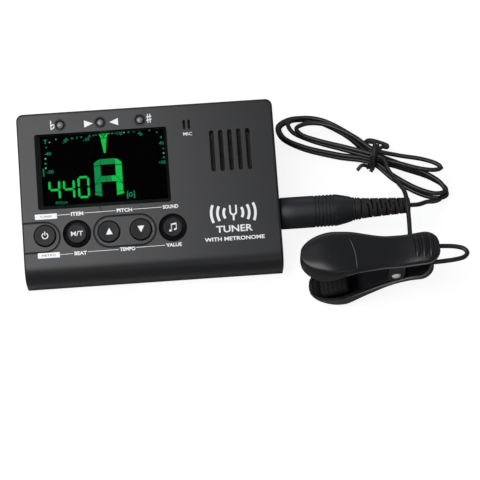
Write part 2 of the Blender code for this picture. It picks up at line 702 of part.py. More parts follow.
def plug():
    """A two-pole 6.35 mm plug with a ribbed handle and a flexible strain relief. Its profiles
    run along X from the box outwards, so the start is each profile's top."""
    y, z = case_axis_point(JACK_V, JACK_W)
    place = empty("plug_axis", Matrix.Translation((0, y * MM, z * MM)))
    flip = Matrix.Rotation(math.radians(-90), 3, "Y")
    tip = PLUG_TIP_X
    turned("plug_tip", along([(0, tip), (1.2, tip + 0.3), (2.9, tip + 2.4), (2.9, tip + 3),
                              (2.2, tip + 4), (2.2, tip + 4.8), (0, tip + 4.8)]),
           CHROME, place, turn=flip, steps=20)
    turned("plug_insulator", along([(0, tip + 5.1), (PLUG_RADIUS - 0.1, tip + 5.1),
                                    (PLUG_RADIUS - 0.1, tip + 6.1), (0, tip + 6.1)]),
           INSULATOR_BLACK, place, turn=flip, steps=20)
    turned("plug_sleeve", along([(0, tip + 6.4), (PLUG_RADIUS, tip + 6.4),
                                 (PLUG_RADIUS, HANDLE_START - GAP), (0, HANDLE_START - GAP)]),
           CHROME, place, turn=flip, steps=20)
    handle = [(0, HANDLE_START), (6.6, HANDLE_START), (7, HANDLE_START + 0.4), (7, 71.6)]
    for i in range(6):
        groove = 71.6 + 1.6 * i
        handle += [(6.7, groove + 0.4), (7, groove + 0.9)]
    handle += [(6.9, 81.4), (6.2, 84.4), (5.5, 87.2), (5.1, 89), (4.85, 89.3), (4.95, 89.8),
               (4.75, HANDLE_END), (0, HANDLE_END)]
    turned("plug_handle", along(handle), PLUG_BLACK, place, turn=flip, steps=24)
    start = HANDLE_END + GAP
    rings = 6
    pitch = (RELIEF_END - 1.6 - start - 1) / rings
    relief = [(0, start), (4.5, start), (4.5, start + 1)]
    for i in range(rings):
        at = start + 1 + pitch * i
        radius = 4.4 - 1.1 * (i + 1) / rings
        relief += [(radius - 1.2, at + 0.1), (radius - 1.2, at + 1.2), (radius, at + 1.3),
                   (radius, at + pitch - 0.1)]
    relief += [(3.5, RELIEF_END - 1.5), (3.5, RELIEF_END - 0.3), (3.1, RELIEF_END), (0, RELIEF_END)]
    turned("strain_relief", along(relief), RUBBER, place, turn=flip, steps=16)


def along(profile):
    """A profile whose start is the top, for a piece that runs outwards along X."""
    return [(r, -x) for r, x in profile]


# ---------------------------------------------------------------- the clip

def through(knots, x):
    """The height at x of a smooth curve through (x, height) points."""
    i = min(len(knots) - 2, max(0, sum(knot[0] <= x for knot in knots) - 1))
    (x0, y0), (x1, y1) = knots[i], knots[i + 1]
    before, after = knots[max(0, i - 1)], knots[min(len(knots) - 1, i + 2)]
    first = (y1 - before[1]) / (x1 - before[0]) * (x1 - x0)
    second = (after[1] - y0) / (after[0] - x0) * (x1 - x0)
    t = min(1, max(0, (x - x0) / (x1 - x0)))
    rest = 1 - t
    return (y0 * (1 + 2 * t) * rest * rest + first * t * rest * rest
            + y1 * (1 + 2 * rest) * t * t - second * rest * t * t)


def quarter(share):
    """How far a quarter ellipse has opened at a share of its length."""
    return math.sqrt(max(0, 1 - (1 - min(1, share)) ** 2))


def clip_half_width(x, shape):
    """Half the shell's width: an elliptic nose, a waist at the pin and a rounded tail."""
    half = through(shape["width"], x)
    nose = HEAD_REACH + x
    if nose < NOSE_LENGTH:
        return 1 + (half - 1) * quarter(nose / NOSE_LENGTH)
    tail = shape["width"][-1][0] - x
    return half - TAIL_ROUND * (1 - quarter(tail / TAIL_ROUND))


def clip_form(name, place, shape, inset=0, look=None):
    """One half of the clip as a solid, or the hollow inside it when it has an inset. Its back
    faces up for side 1 and down for side -1."""
    tail = shape["width"][-1][0]
    stations = [-HEAD_REACH + inset, -40.3 + inset, -39 + inset, -36.7 + inset / 2, -33.5, -30,
                -26, -21, -16, -11, -6, -2, 3, 8, tail - 4.5, tail - 2.2 - inset / 2,
                tail - 0.8 - inset, tail - inset]
    across = [math.radians(a) for a in range(-90, 91, 18)]
    squareness = 0.4
    bm = bmesh.new()
    rows = []
    for x in stations:
        half = clip_half_width(x, shape) - inset
        rim = through(shape["rim"], x)
        rise = through(shape["crown"], x) - inset - rim
        foot = rim - 4 * inset
        section = [(-half, foot)] if inset else []
        for angle in across:
            y = half * math.copysign(abs(math.sin(angle)) ** squareness, math.sin(angle))
            section.append((y, rim + rise * abs(math.cos(angle)) ** squareness))
        section += [(half, foot)] if inset else []
        rows.append([bm.verts.new((x, y, z * shape["side"])) for y, z in section])
    for first, second in zip(rows, rows[1:]):
        for i, a in enumerate(first):
            j = (i + 1) % len(first)
            bm.faces.new((a, first[j], second[j], second[i]))
    for row in (rows[0], rows[-1]):
        bm.faces.new(row)
    form = put(name, mesh_of(bm, name), look, place)
    smooth(form)
    return form


def ear(name, place, inner, outer, shape):
    """An ear beside the pin: its round end is on the pin's axis and its root is in the shell."""
    radius = shape["ear_radius"]
    root = shape["ear_root"]
    tip = arc((0, 0), radius, 180, 360, 8)
    outline = [(x, z * shape["side"]) for x, z in tip + [(radius, root), (-radius, root)]]
    return plate(name, outline, inner, outer, parent=place, turn=SECTION_XZ)


def clip_half(name, place, shape):
    shell = clip_form(name, place, shape, look=CLIP_BLACK)
    side = shape["side"]
    first_ridge = shape["width"][-1][0] - 9.2
    for i in range(3):
        x = first_ridge + 2.5 * i
        back = through(shape["crown"], x)
        low, high = sorted((side * (back - 1.2), side * (back + 0.5)))
        join(shell, block("thumb_ridge", (x, -4.7, low), (x + 1.1, 4.7, high), parent=place))
    cut(shell, clip_form(name + "_hollow", place, shape, SHELL_THICK))
    near, far = shape["ear_faces"]
    for inner, outer in ((near, far), (-far, -near)):
        join(shell, ear(name + "_ear", place, inner, outer, shape))
    bore = cylinder(name + "_bore", PIN_RADIUS + GAP, -12, 12, parent=place, turn=ALONG_Y,
                    sides=20)
    cut(shell, bore)
    return shell


def clip():
    """Two sprung jaws on one pin. The lower one is open, as it is round a board."""
    upper = empty("clip_upper_frame", Matrix.Translation(Vector(CLIP_PIN) * MM))
    turn = Matrix.Rotation(-JAW_OPEN, 4, "Y")
    lower = empty("clip_lower_frame", Matrix.Translation(Vector(CLIP_PIN) * MM) @ turn)
    clip_half("clip_upper_shell", upper, UPPER_HALF)
    clip_half("clip_lower_shell", lower, LOWER_HALF)
    rivet = [(0, PIN_REACH), (1.6, PIN_REACH), (PIN_RADIUS, PIN_REACH - 0.3),
             (PIN_RADIUS, 0.3 - PIN_REACH), (1.6, -PIN_REACH), (0, -PIN_REACH)]
    turned("clip_pin", rivet, STEEL, upper, turn=ALONG_Y, steps=20)
    start, end = PAD_X
    wide = PAD_HALF_WIDTH
    for place, name, (low, high) in ((upper, "jaw_pad_upper", UPPER_PAD_Z),
                                     (lower, "jaw_pad_lower", LOWER_PAD_Z)):
        block(name, (start, -wide, low), (end, wide, high), RUBBER, place, edge=0.6)
    middle = ((start + end) / 2, 0, 0)
    disc = UPPER_PAD_Z[1] + GAP
    ceramic = disc + PIEZO_THICK + GAP
    cylinder("piezo_disc", 6, disc, disc + PIEZO_THICK, BRASS, upper, middle)
    cylinder("piezo_ceramic", 4.5, ceramic, ceramic + PIEZO_THICK, CERAMIC, upper, middle)
    wire("clip_spring", spring_points(), 0.3, STEEL, upper)


def spring_points():
    """A torsion spring: a leg under the upper tail, four turns about the pin and a leg in the
    lower tail."""
    radius = PIN_RADIUS + 0.75
    start = math.radians(125)
    end = start - 2 * math.pi * 4 + math.radians(150)
    steps = 44
    points = [(12.5, 1.9, 9.8)]
    for i in range(steps + 1):
        t = i / steps
        angle = start + (end - start) * t
        points.append((radius * math.cos(angle), 1.9 - 3.8 * t, radius * math.sin(angle)))
    points.append((12, -1.9, -4))
    return points


# ---------------------------------------------------------------- the lead

def bundle_point(p, q, z):
    """A point of the bundle: p along it from the tie, q across it, z over the ground."""
    x = TIE_AT[0] + p * math.cos(BUNDLE_TURN) - q * math.sin(BUNDLE_TURN)
    y = TIE_AT[1] + p * math.sin(BUNDLE_TURN) + q * math.cos(BUNDLE_TURN)
    return Vector((x, y, z))


def hairpin(side, reach, half, lean, heights):
    """One loop of the bundle, out from the tie and back to it. Heights are those of its way
    out, of its end and of its way back."""
    shape = ((0.34, 0.72), (0.70, 1.0), (0.92, 0.66), (1.0, 0), (0.92, -0.66), (0.70, -1.0),
             (0.34, -0.72))
    turn = math.radians(lean)
    points = []
    for i, (share, spread) in enumerate(shape):
        p = side * share * reach
        q = -side * spread * half
        t = i / (len(shape) - 1) * 2
        first, second = (heights[0], heights[1]) if t <= 1 else (heights[1], heights[2])
        z = first + (second - first) * (t if t <= 1 else t - 1)
        points.append(bundle_point(p * math.cos(turn) - q * math.sin(turn),
                                   p * math.sin(turn) + q * math.cos(turn), z))
    return points


# Reach, half width and lean in degrees of each loop, from the ground up.
LEFT_LOOPS = ((47, 11.3, -1.5), (45.5, 10, 2), (42.5, 9, -4), (37.5, 7, 3))
RIGHT_LOOPS = ((37.5, 7.2, -14), (34.6, 5, -15), (31.8, 4.6, -12.5), (30.5, 3.4, 3.5))
TIE_SLOT = 1.3
GROUND = 1.3
TIE_LOW = 3.2


def lead_points():
    """The lead's corner points: from the plug to the ground, four turns of the bundle, and
    over the plug into the clip's tail."""
    y, z = case_axis_point(JACK_V, JACK_W)
    start = RELIEF_END + GAP
    points = [Vector(p) for p in ((start, y, z), (start + 3.4, y, z),
                                  (start + 8, y + 2.2, z - 4), (start + 12, y + 5, z - 10),
                                  (start + 15.3, y + 9, 2.6))]
    points += loop(1, 0, (0, 0, 0))[3:]
    for turn in range(4):
        points.append(bundle_point(0, TIE_SLOT, TIE_LOW + LAYER * turn))
        points += loop(-1, turn, (turn + 0.15 * turn, turn, turn))
        points.append(bundle_point(0, -TIE_SLOT, TIE_LOW + LAYER * turn))
        if turn == 2:
            points += loop(1, 3, (turn + 1, turn + 1.3, turn + 1.3))
        elif turn < 2:
            points += loop(1, turn + 1, (turn, turn + 0.5, turn + 1))
    points.append(bundle_point(5, -2.8, 11.6))
    points += [Vector(p) for p in ((107, 41, 14), (109.6, 31, 19.4), (111.4, 24.6, 22.8),
                                   (111.9, 20.1, 23.4), (111.9, 12, 22.8), (111.5, 4, 22.4))]
    x, y, z = CLIP_PIN
    tail = ((8, 9.3, 1.8), (9.8, 5.9, 2.4), (15, 4.1, 3.6), (21, 3.7, 4), (26.6, 3, 4.1),
            (30.2, 1.6, 4.1), (31.3, -0.4, 4.1), (29.8, -2.3, 4.1), (26, -3.3, 4.1),
            (21, -3.7, 4), (15, -3.8, 3.6))
    points += [Vector((x + a, y + b, z + c)) for a, b, c in tail]
    return points


def loop(side, number, layers):
    sizes = RIGHT_LOOPS if side > 0 else LEFT_LOOPS
    return hairpin(side, *sizes[number], [GROUND + LAYER * layer for layer in layers])


def rounded_path(corners, spacing):
    """A smooth path through points, as a centripetal Catmull-Rom spline."""
    ends = [2 * corners[0] - corners[1]] + corners + [2 * corners[-1] - corners[-2]]
    path = []
    for p0, p1, p2, p3 in zip(ends, ends[1:], ends[2:], ends[3:]):
        t1 = (p1 - p0).length ** 0.5
        t2 = t1 + (p2 - p1).length ** 0.5
        t3 = t2 + (p3 - p2).length ** 0.5
        steps = max(1, round((p2 - p1).length / spacing))
        for i in range(steps):
            t = t1 + (t2 - t1) * i / steps
            a1 = p0.lerp(p1, t / t1)
            a2 = p1.lerp(p2, (t - t1) / (t2 - t1))
            a3 = p2.lerp(p3, (t - t2) / (t3 - t2))
            b1 = a1.lerp(a2, t / t2)
            b2 = a2.lerp(a3, (t - t1) / (t3 - t1))
            path.append(b1.lerp(b2, (t - t1) / (t2 - t1)))
    return path + [corners[-1]]


def lead():
    wire("cable", rounded_path(lead_points(), 4.2), CABLE_RADIUS, CABLE_BLACK)
    wire("twist_tie", tie_points(), 0.6, CABLE_BLACK)


def tie_points():
    """A wire tie round the waist of the bundle, with its two ends sticking out in front."""
    middle = TIE_LOW + 1.5 * LAYER
    wide = TIE_SLOT + CABLE_RADIUS + 1.5
    tall = 1.5 * LAYER + CABLE_RADIUS + 1.4
    points = [bundle_point(-4.6, -wide - 3.4, 4.2), bundle_point(-2.2, -wide - 1.2, 4.8)]
    steps = 18
    for i in range(steps + 1):
        angle = math.radians(200 + 340 * i / steps)
        q = wide * math.copysign(abs(math.cos(angle)) ** 0.5, math.cos(angle))
        z = middle + tall * math.copysign(abs(math.sin(angle)) ** 0.5, math.sin(angle))
        points.append(bundle_point(-0.9 + 2.6 * i / steps, q, z))
    points += [bundle_point(2.9, -wide - 1.6, 4.4), bundle_point(3.6, -wide - 3.6, 3.4)]
    return points


def main():
    front_cover()
    buttons()
    leds()
    display()
    circuit_board()
    speaker()
    microphone()
    input_jack()
    bay_right = batteries()
    rear_cover(bay_right)
    battery_door()
    case_screws()
    stand()
    plug()
    clip()
    lead()


main()
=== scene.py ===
"""Looks of the clip-on tuner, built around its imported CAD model.

The box's outer cover, its buttons and lamps, the plug's handle, the strain relief, the lead,
its tie and the spring clip are modelled finely here and stand for their CAD nodes. Printing,
display figures and fine trim are added. The other nodes keep their CAD shape, and every piece
gets a procedural material.
Shapes are written in millimetres in the frame of the part that they belong to, and a place
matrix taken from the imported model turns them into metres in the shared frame."""
import json
import math

import bmesh
import bpy
from mathutils import Matrix, Vector

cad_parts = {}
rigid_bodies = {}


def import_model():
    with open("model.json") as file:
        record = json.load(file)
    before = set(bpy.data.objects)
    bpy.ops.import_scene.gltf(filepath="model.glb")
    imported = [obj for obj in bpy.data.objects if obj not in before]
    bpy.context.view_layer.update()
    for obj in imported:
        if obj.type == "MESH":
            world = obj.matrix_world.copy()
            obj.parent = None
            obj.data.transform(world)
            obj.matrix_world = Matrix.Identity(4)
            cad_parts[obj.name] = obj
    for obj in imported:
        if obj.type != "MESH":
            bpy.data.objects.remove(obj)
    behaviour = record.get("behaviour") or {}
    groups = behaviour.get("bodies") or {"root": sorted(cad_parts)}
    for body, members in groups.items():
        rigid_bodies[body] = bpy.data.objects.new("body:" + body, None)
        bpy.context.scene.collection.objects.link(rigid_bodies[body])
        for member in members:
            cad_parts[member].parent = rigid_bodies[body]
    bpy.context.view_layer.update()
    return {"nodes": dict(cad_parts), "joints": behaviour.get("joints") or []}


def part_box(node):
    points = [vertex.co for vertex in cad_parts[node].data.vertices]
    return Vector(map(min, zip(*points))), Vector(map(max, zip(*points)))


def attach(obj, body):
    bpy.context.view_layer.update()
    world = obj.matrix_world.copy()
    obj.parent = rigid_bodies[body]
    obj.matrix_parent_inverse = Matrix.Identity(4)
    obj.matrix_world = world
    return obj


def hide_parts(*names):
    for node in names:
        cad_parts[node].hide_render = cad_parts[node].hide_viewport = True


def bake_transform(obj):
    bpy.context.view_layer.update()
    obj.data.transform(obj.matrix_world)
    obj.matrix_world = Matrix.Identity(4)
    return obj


for leftover in list(bpy.data.objects):
    bpy.data.objects.remove(leftover, do_unlink=True)

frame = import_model()
NODES = frame["nodes"]
JOINTS = {joint["name"]: joint for joint in frame["joints"]}

MM = 0.001
X_AXIS = Vector((1, 0, 0))
SMOOTH_UNDER = math.radians(32)

# ------------------------------------------------------------ frames of reference

# The box's frame has U to the right, V up its face and W out of its face. The stand's
# hinge is at V 38 and W 2.2 in it, and the buttons are pressed along -W.
STAND_V = 38
STAND_W = 2.2
FACE_W = 20

BUTTONS = ("power", "mode", "up", "down", "sound")
LAMPS = ("led_flat", "led_in_tune", "led_sharp")
SCREWS = [f"case_screw_{number}" for number in range(1, 5)]


def scaled(matrix):
    """A frame whose numbers are in millimetres."""
    return matrix @ Matrix.Scale(MM, 4)


def case_frame():
    out = -Vector(JOINTS["up_press"]["axis"]).normalized()
    up = out.cross(X_AXIS)
    hinge = Vector(JOINTS["stand_fold"]["pos_m"])
    origin = hinge - (up * STAND_V + out * STAND_W) * MM
    turn = Matrix((X_AXIS, up, out)).transposed().to_4x4()
    return scaled(Matrix.Translation(origin) @ turn)


def middle_of(name):
    low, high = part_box(name)
    return (low + high) / 2


CASE = case_frame()
TO_CASE = CASE.inverted()


def in_case(name):
    """The middle of a CAD node in the box's frame."""
    return TO_CASE @ middle_of(name)


def at_case(u, v, w=0.0):
    """A frame at a point of the box's frame, with Z out of the face."""
    return CASE @ Matrix.Translation((u, v, w))


# Along the plug: Z of this frame is world X.
plug_middle = middle_of("plug_sleeve")
PLUG = scaled(Matrix.Translation((0, plug_middle.y, plug_middle.z))
              @ Matrix.Rotation(math.radians(90), 4, "Y"))
# The clip's two halves, about the pin. The lower one stands open.
CLIP_PIN = Vector(JOINTS["clip_squeeze"]["pos_m"])
JAW_OPEN = math.radians(24)
CLIP_UPPER = scaled(Matrix.Translation(CLIP_PIN))
CLIP_LOWER = scaled(Matrix.Translation(CLIP_PIN) @ Matrix.Rotation(-JAW_OPEN, 4, "Y"))
WORLD = scaled(Matrix.Identity(4))


def add_object(name, data):
    obj = bpy.data.objects.new(name, data)
    bpy.context.scene.collection.objects.link(obj)
    return obj


# ---------------------------------------------------------------------- materials

def new_look(name):
    """A new material and its node tree."""
    made = bpy.data.materials.new(name)
    made.use_nodes = True
    return made, made.node_tree


def node(tree, kind, inputs=None, **settings):
    made = tree.nodes.new(kind)
    for name, value in settings.items():
        setattr(made, name, value)
    for name, value in (inputs or {}).items():
        if isinstance(value, bpy.types.NodeSocket):
            tree.links.new(value, made.inputs[name])
        else:
            made.inputs[name].default_value = value
    return made


def place_in(tree):
    """Where a point lies in its object, in metres."""
    return node(tree, "ShaderNodeTexCoord").outputs["Object"]


def rgba(colour):
    return (*colour, 1)


def mix_colour(tree, share, first, second):
    made = node(tree, "ShaderNodeMix", {0: share, 6: first, 7: second}, data_type="RGBA")
    return made.outputs[2]


def arithmetic(tree, operation, first, second=0.0, clamp=False):
    made = node(tree, "ShaderNodeMath", {0: first, 1: second}, operation=operation,
                use_clamp=clamp)
    return made.outputs[0]


def noise(tree, where, scale, detail=2.0, rough=0.5):
    return node(tree, "ShaderNodeTexNoise", {"Vector": where, "Scale": scale, "Detail": detail,
                                             "Roughness": rough}).outputs[0]


def stretched(tree, where, scale):
    return node(tree, "ShaderNodeMapping", {"Vector": where, "Scale": scale}).outputs[0]


def surface(name, colour, roughness, tint=None, spread=0.08, grain=2600, depth=0.02,
            wear=0.0, rounding=0.12, metallic=0.0, stretch=(1, 1, 1), mottle=90, pattern=None,
            coat=0.0, specular=0.5):
    """A Principled material with broad colour variation, fine grain in its bump and its
    roughness, softened edges and, with wear, lighter worn edges. depth and rounding are in
    millimetres, grain and mottle in cells a metre."""
    made, tree = new_look(name)
    shader = tree.nodes["Principled BSDF"]
    where = place_in(tree)
    along = stretched(tree, where, stretch)
    fine = noise(tree, along, grain, 3)
    broad = noise(tree, where, mottle, 4, 0.6)
    second = tint or tuple(min(1, c * 1.35 + 0.002) for c in colour)
    mixed = mix_colour(tree, broad, rgba(colour), rgba(second))
    if pattern:
        mixed = pattern(tree, where, mixed)
    soft = node(tree, "ShaderNodeBevel", {"Radius": rounding * MM}, samples=6).outputs[0]
    blotch = arithmetic(tree, "MULTIPLY_ADD", broad, spread * 1.4)
    blotch.node.inputs[2].default_value = roughness - spread * 0.7
    rough = arithmetic(tree, "MULTIPLY_ADD", fine, spread)
    tree.links.new(blotch, rough.node.inputs[2])
    if wear:
        wide = node(tree, "ShaderNodeBevel", {"Radius": 0.5 * MM}, samples=6).outputs[0]
        normal = node(tree, "ShaderNodeNewGeometry").outputs["Normal"]
        flat = node(tree, "ShaderNodeVectorMath", {0: wide, 1: normal}, operation="DOT_PRODUCT")
        edge = arithmetic(tree, "SUBTRACT", 1.0, flat.outputs["Value"], clamp=True)
        rubbed = arithmetic(tree, "MULTIPLY", edge, arithmetic(tree, "MULTIPLY", fine, 9 * wear),
                            clamp=True)
        mixed = mix_colour(tree, rubbed, mixed, rgba([min(1, c * 4 + 0.03) for c in colour]))
    bump = node(tree, "ShaderNodeBump", {"Height": fine, "Normal": soft, "Strength": 1.0,
                                         "Distance": depth * MM})
    tree.links.new(mixed, shader.inputs["Base Color"])
    tree.links.new(rough, shader.inputs["Roughness"])
    tree.links.new(bump.outputs[0], shader.inputs["Normal"])
    shader.inputs["Metallic"].default_value = metallic
    shader.inputs["Coat Weight"].default_value = coat
    shader.inputs["Coat Roughness"].default_value = 0.12
    shader.inputs["Specular IOR Level"].default_value = specular
    return made


def glowing(name, colour, strength):
    """A lit display figure: its light varies a little and it keeps a faint sheen."""
    made = surface(name, colour, 0.6, tint=colour, grain=1500, depth=0.0,
                   rounding=0.01, specular=0.0)
    tree = made.node_tree
    shader = tree.nodes["Principled BSDF"]
    light = arithmetic(tree, "MULTIPLY_ADD", noise(tree, place_in(tree), 420, 3), 0.5 * strength)
    light.node.inputs[2].default_value = 0.75 * strength
    shader.inputs["Emission Color"].default_value = rgba(colour)
    tree.links.new(light, shader.inputs["Emission Strength"])
    return made


def clear_pane(name):
    """A clear window: mostly see-through, with a faint sheen that grows at low angles."""
    made, tree = new_look(name)
    tree.nodes.clear()
    rough = arithmetic(tree, "ADD", noise(tree, place_in(tree), 60, 4), 0.1)
    through = node(tree, "ShaderNodeBsdfTransparent", {"Color": (0.93, 0.94, 0.95, 1)})
    mirror = node(tree, "ShaderNodeBsdfAnisotropic", {"Roughness": rough})
    share = node(tree, "ShaderNodeFresnel", {"IOR": 1.3}).outputs[0]
    both = node(tree, "ShaderNodeMixShader", {0: arithmetic(tree, "MULTIPLY", share, 0.01),
                                              1: through.outputs[0], 2: mirror.outputs[0]})
    out = node(tree, "ShaderNodeOutputMaterial")
    tree.links.new(both.outputs[0], out.inputs[0])
    return made


def board_traces(tree, where, base):
    """Copper traces under green lacquer."""
    lines = node(tree, "ShaderNodeTexBrick", {
        "Vector": where, "Scale": 300.0, "Mortar Size": 0.07, "Color1": (0, 0, 0, 1),
        "Color2": (0, 0, 0, 1), "Mortar": (1, 1, 1, 1)})
    return mix_colour(tree, lines.outputs["Color"], base, rgba((0.06, 0.3, 0.1)))


def jacket_bands(tree, where, base):
    """A cell's wrap: dark, and pale gold to the right of a line across it."""
    position = node(tree, "ShaderNodeSeparateXYZ", {0: where}).outputs[0]
    right = arithmetic(tree, "GREATER_THAN", position, -0.022)
    return mix_colour(tree, right, base, rgba((0.55, 0.45, 0.25)))


def paper_cells(tree, where, base):
    """Fine pressed cells in the speaker's paper."""
    cells = node(tree, "ShaderNodeTexVoronoi", {"Vector": where, "Scale": 900.0})
    return mix_colour(tree, cells.outputs["Distance"], base, rgba((0.045, 0.042, 0.04)))


LOOKS = {
    "case": surface("case_plastic", (0.0045, 0.0047, 0.0056), 0.36, tint=(0.0065, 0.0067, 0.0076),
                    spread=0.06, grain=5200, depth=0.0045, wear=0.25, rounding=0.15),
    # Recess walls, grooves and holes: the case plastic darkened as painted shade.
    "recess_shade": surface("painted_recess_shade", (0.0025, 0.0025, 0.003), 0.35, grain=4000, depth=0.003,
                      specular=0.25),
    "button": surface("button_plastic", (0.003, 0.0031, 0.0036), 0.4, grain=4200,
                      depth=0.006, wear=0.1, specular=0.22),
    "print": surface("white_ink", (0.78, 0.79, 0.8), 0.55, tint=(0.86, 0.87, 0.88), grain=3000,
                     depth=0.004, mottle=700, rounding=0.01),
    "screen": surface("display_black", (0.0006, 0.0007, 0.0008), 0.5, tint=(0.0008, 0.0009, 0.001),
                      grain=6000, depth=0.001, specular=0.0, rounding=0.02),
    "window": clear_pane("clear_window"),
    "lit": glowing("lit_green", (0.006, 0.40, 0.056), 0.5),
    "lit_dim": glowing("dim_green", (0.005, 0.2, 0.046), 0.5),
    "lit_faint": glowing("faint_green", (0.009, 0.17, 0.08), 0.6),
    "lit_white": glowing("lit_white", (0.24, 0.36, 0.3), 0.55),
    "lamp": surface("lamp_lens", (0.10, 0.10, 0.105), 0.22, tint=(0.2, 0.2, 0.205), grain=1400,
                    depth=0.03, mottle=900, coat=0.6),
    "lamp_ring": surface("lamp_ring", (0.003, 0.003, 0.0035), 0.3, grain=3000, depth=0.004),
    "handle": surface("handle_plastic", (0.0065, 0.007, 0.0085), 0.42, spread=0.1, grain=3400,
                      depth=0.010, wear=0.3),
    "relief": surface("relief_rubber", (0.0145, 0.0105, 0.0115), 0.6, spread=0.1, grain=2600,
                      depth=0.015, wear=0.1, specular=0.35),
    "cable": surface("cable_vinyl", (0.007, 0.0066, 0.0072), 0.34, grain=1700,
                     depth=0.012, mottle=160, rounding=0.02),
    "tie": surface("tie_vinyl", (0.012, 0.0115, 0.0125), 0.45, spread=0.1, grain=2000,
                   depth=0.014, rounding=0.05),
    "clip": surface("clip_plastic", (0.0026, 0.0026, 0.003), 0.3, grain=3600,
                    depth=0.008, wear=0.25, rounding=0.2),
    # The lower jaw's outward sides: the clip plastic made lighter as a painted sheen.
    "clip_side_sheen": surface("clip_side_painted_sheen", (0.03, 0.03, 0.032), 0.35, tint=(0.045, 0.044, 0.046),
                         grain=3600, depth=0.010, wear=0.2, rounding=0.2),
    # A lighter plastic for the rim bead and the head's seam: a painted highlight along edges that
    # catch light.
    "clip_edge": surface("painted_edge_highlight", (0.08, 0.079, 0.082), 0.3, tint=(0.12, 0.118, 0.122),
                         grain=3600, depth=0.006, rounding=0.08),
    "pad": surface("pad_rubber", (0.010, 0.010, 0.0105), 0.75, spread=0.1, grain=2200,
                   depth=0.03, specular=0.3),
    "steel": surface("plated_steel", (0.42, 0.415, 0.40), 0.26, tint=(0.55, 0.54, 0.52),
                     spread=0.12, grain=1500, depth=0.004, metallic=1, stretch=(1, 6, 6)),
    "dark_steel": surface("blacked_steel", (0.012, 0.012, 0.0125), 0.5, spread=0.1, grain=1800,
                          depth=0.006, metallic=0.5, specular=0.3),
    # The rivet: its own silver colour, made pale and mostly non-metallic as a painted glint.
    "pin": surface("rivet_steel_painted_glint", (0.8, 0.79, 0.73), 0.28, tint=(0.88, 0.87, 0.8), spread=0.1,
                   grain=2400, depth=0.012, metallic=0.2, stretch=(1, 1, 5)),
    "chrome": surface("bright_chrome", (0.72, 0.72, 0.73), 0.09, tint=(0.8, 0.8, 0.8),
                      spread=0.06, grain=2000, depth=0.002, metallic=1, stretch=(1, 8, 8)),
    "brass": surface("rolled_brass", (0.62, 0.44, 0.16), 0.28, tint=(0.72, 0.54, 0.22),
                     spread=0.12, grain=1800, depth=0.004, metallic=1, stretch=(8, 1, 1)),
    "ceramic": surface("fired_ceramic", (0.62, 0.6, 0.55), 0.4, tint=(0.72, 0.7, 0.65),
                       grain=3800, depth=0.008, mottle=500),
    "paper": surface("cone_paper", (0.02, 0.019, 0.018), 0.85, grain=1900, depth=0.05,
                     pattern=paper_cells, specular=0.2),
    "board": surface("board_lacquer", (0.006, 0.085, 0.022), 0.3, grain=1500, depth=0.01,
                     pattern=board_traces, coat=0.4),
    "chip": surface("chip_epoxy", (0.009, 0.009, 0.0095), 0.55, grain=3600, depth=0.015),
    "jacket": surface("cell_wrap", (0.02, 0.021, 0.024), 0.28, grain=900, depth=0.006,
                      pattern=jacket_bands, coat=0.5),
    "guide": surface("guide_acrylic", (0.55, 0.62, 0.56), 0.2, grain=1200, depth=0.02,
                     mottle=400),
    "insulator": surface("nylon_black", (0.012, 0.012, 0.0125), 0.5, grain=2600, depth=0.012),
}


# The CAD nodes that keep their shape, by their look.
FRAME_LOOKS = {
    "case": ("rear_cover", "battery_door", "stand_leg"),
    "window": ("display_window",),
    "screen": ("display_glass",),
    "guide": ("light_guide",),
    "pad": ("contact_strip",),
    "board": ("circuit_board",),
    "chip": ("controller_chip", "display_holder", *[name + "_switch" for name in BUTTONS]),
    "dark_steel": ("speaker_basket", "microphone"),
    "steel": ("jack_contact", "battery_bridge", "battery_contact_minus", "battery_contact_plus",
              "battery_spring_1", "battery_spring_2", "stand_pin", *SCREWS),
    "paper": ("speaker_cone",),
    "insulator": ("input_jack", "plug_insulator"),
    "jacket": ("battery_1", "battery_2"),
    "chrome": ("plug_tip", "plug_sleeve"),
    "brass": ("piezo_disc",),
    "ceramic": ("piezo_ceramic",),
}
for look, names in FRAME_LOOKS.items():
    for name in names:
        materials = NODES[name].data.materials
        materials.clear()
        materials.append(LOOKS[look])


# -------------------------------------------------------------------- mesh makers

def smooth(obj, angle=SMOOTH_UNDER):
    obj.data.shade_smooth()
    obj.data.set_sharp_from_angle(angle=angle)


def mesh_from(bm, place):
    bmesh.ops.recalc_face_normals(bm, faces=bm.faces)
    mesh = bpy.data.meshes.new("shape")
    bm.to_mesh(mesh)
    bm.free()
    mesh.transform(place)
    return mesh


def piece(name, bm, looks, body, place=WORLD, stands_for=()):
    """Adds a piece of the object. looks is one look or the looks of its material indices."""
    obj = add_object(name, mesh_from(bm, place))
    for look in [looks] if isinstance(looks, str) else looks:
        obj.data.materials.append(LOOKS[look])
    smooth(obj)
    if body:
        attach(obj, body)
    if stands_for:
        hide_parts(*stands_for)
    return obj


def flatten_broad_faces(obj, area=12 * MM * MM):
    """Broad faces keep one flat shade, so that the openings in them don't bend it."""
    for face in obj.data.polygons:
        face.use_smooth = face.area < area


def carve(obj, bm, place=WORLD, operation="DIFFERENCE"):
    """Cuts a shape out of obj, or joins it on. Its faces keep their material index."""
    tool = add_object("tool", mesh_from(bm, place))
    for look in obj.data.materials:
        tool.data.materials.append(look)
    change = obj.modifiers.new("carve", "BOOLEAN")
    change.operation = operation
    change.solver = "EXACT"
    change.material_mode = "INDEX"
    change.object = tool
    graph = bpy.context.evaluated_depsgraph_get()
    made = bpy.data.meshes.new_from_object(obj.evaluated_get(graph))
    obj.modifiers.remove(change)
    obj.data = made
    bpy.data.objects.remove(tool)
    smooth(obj)


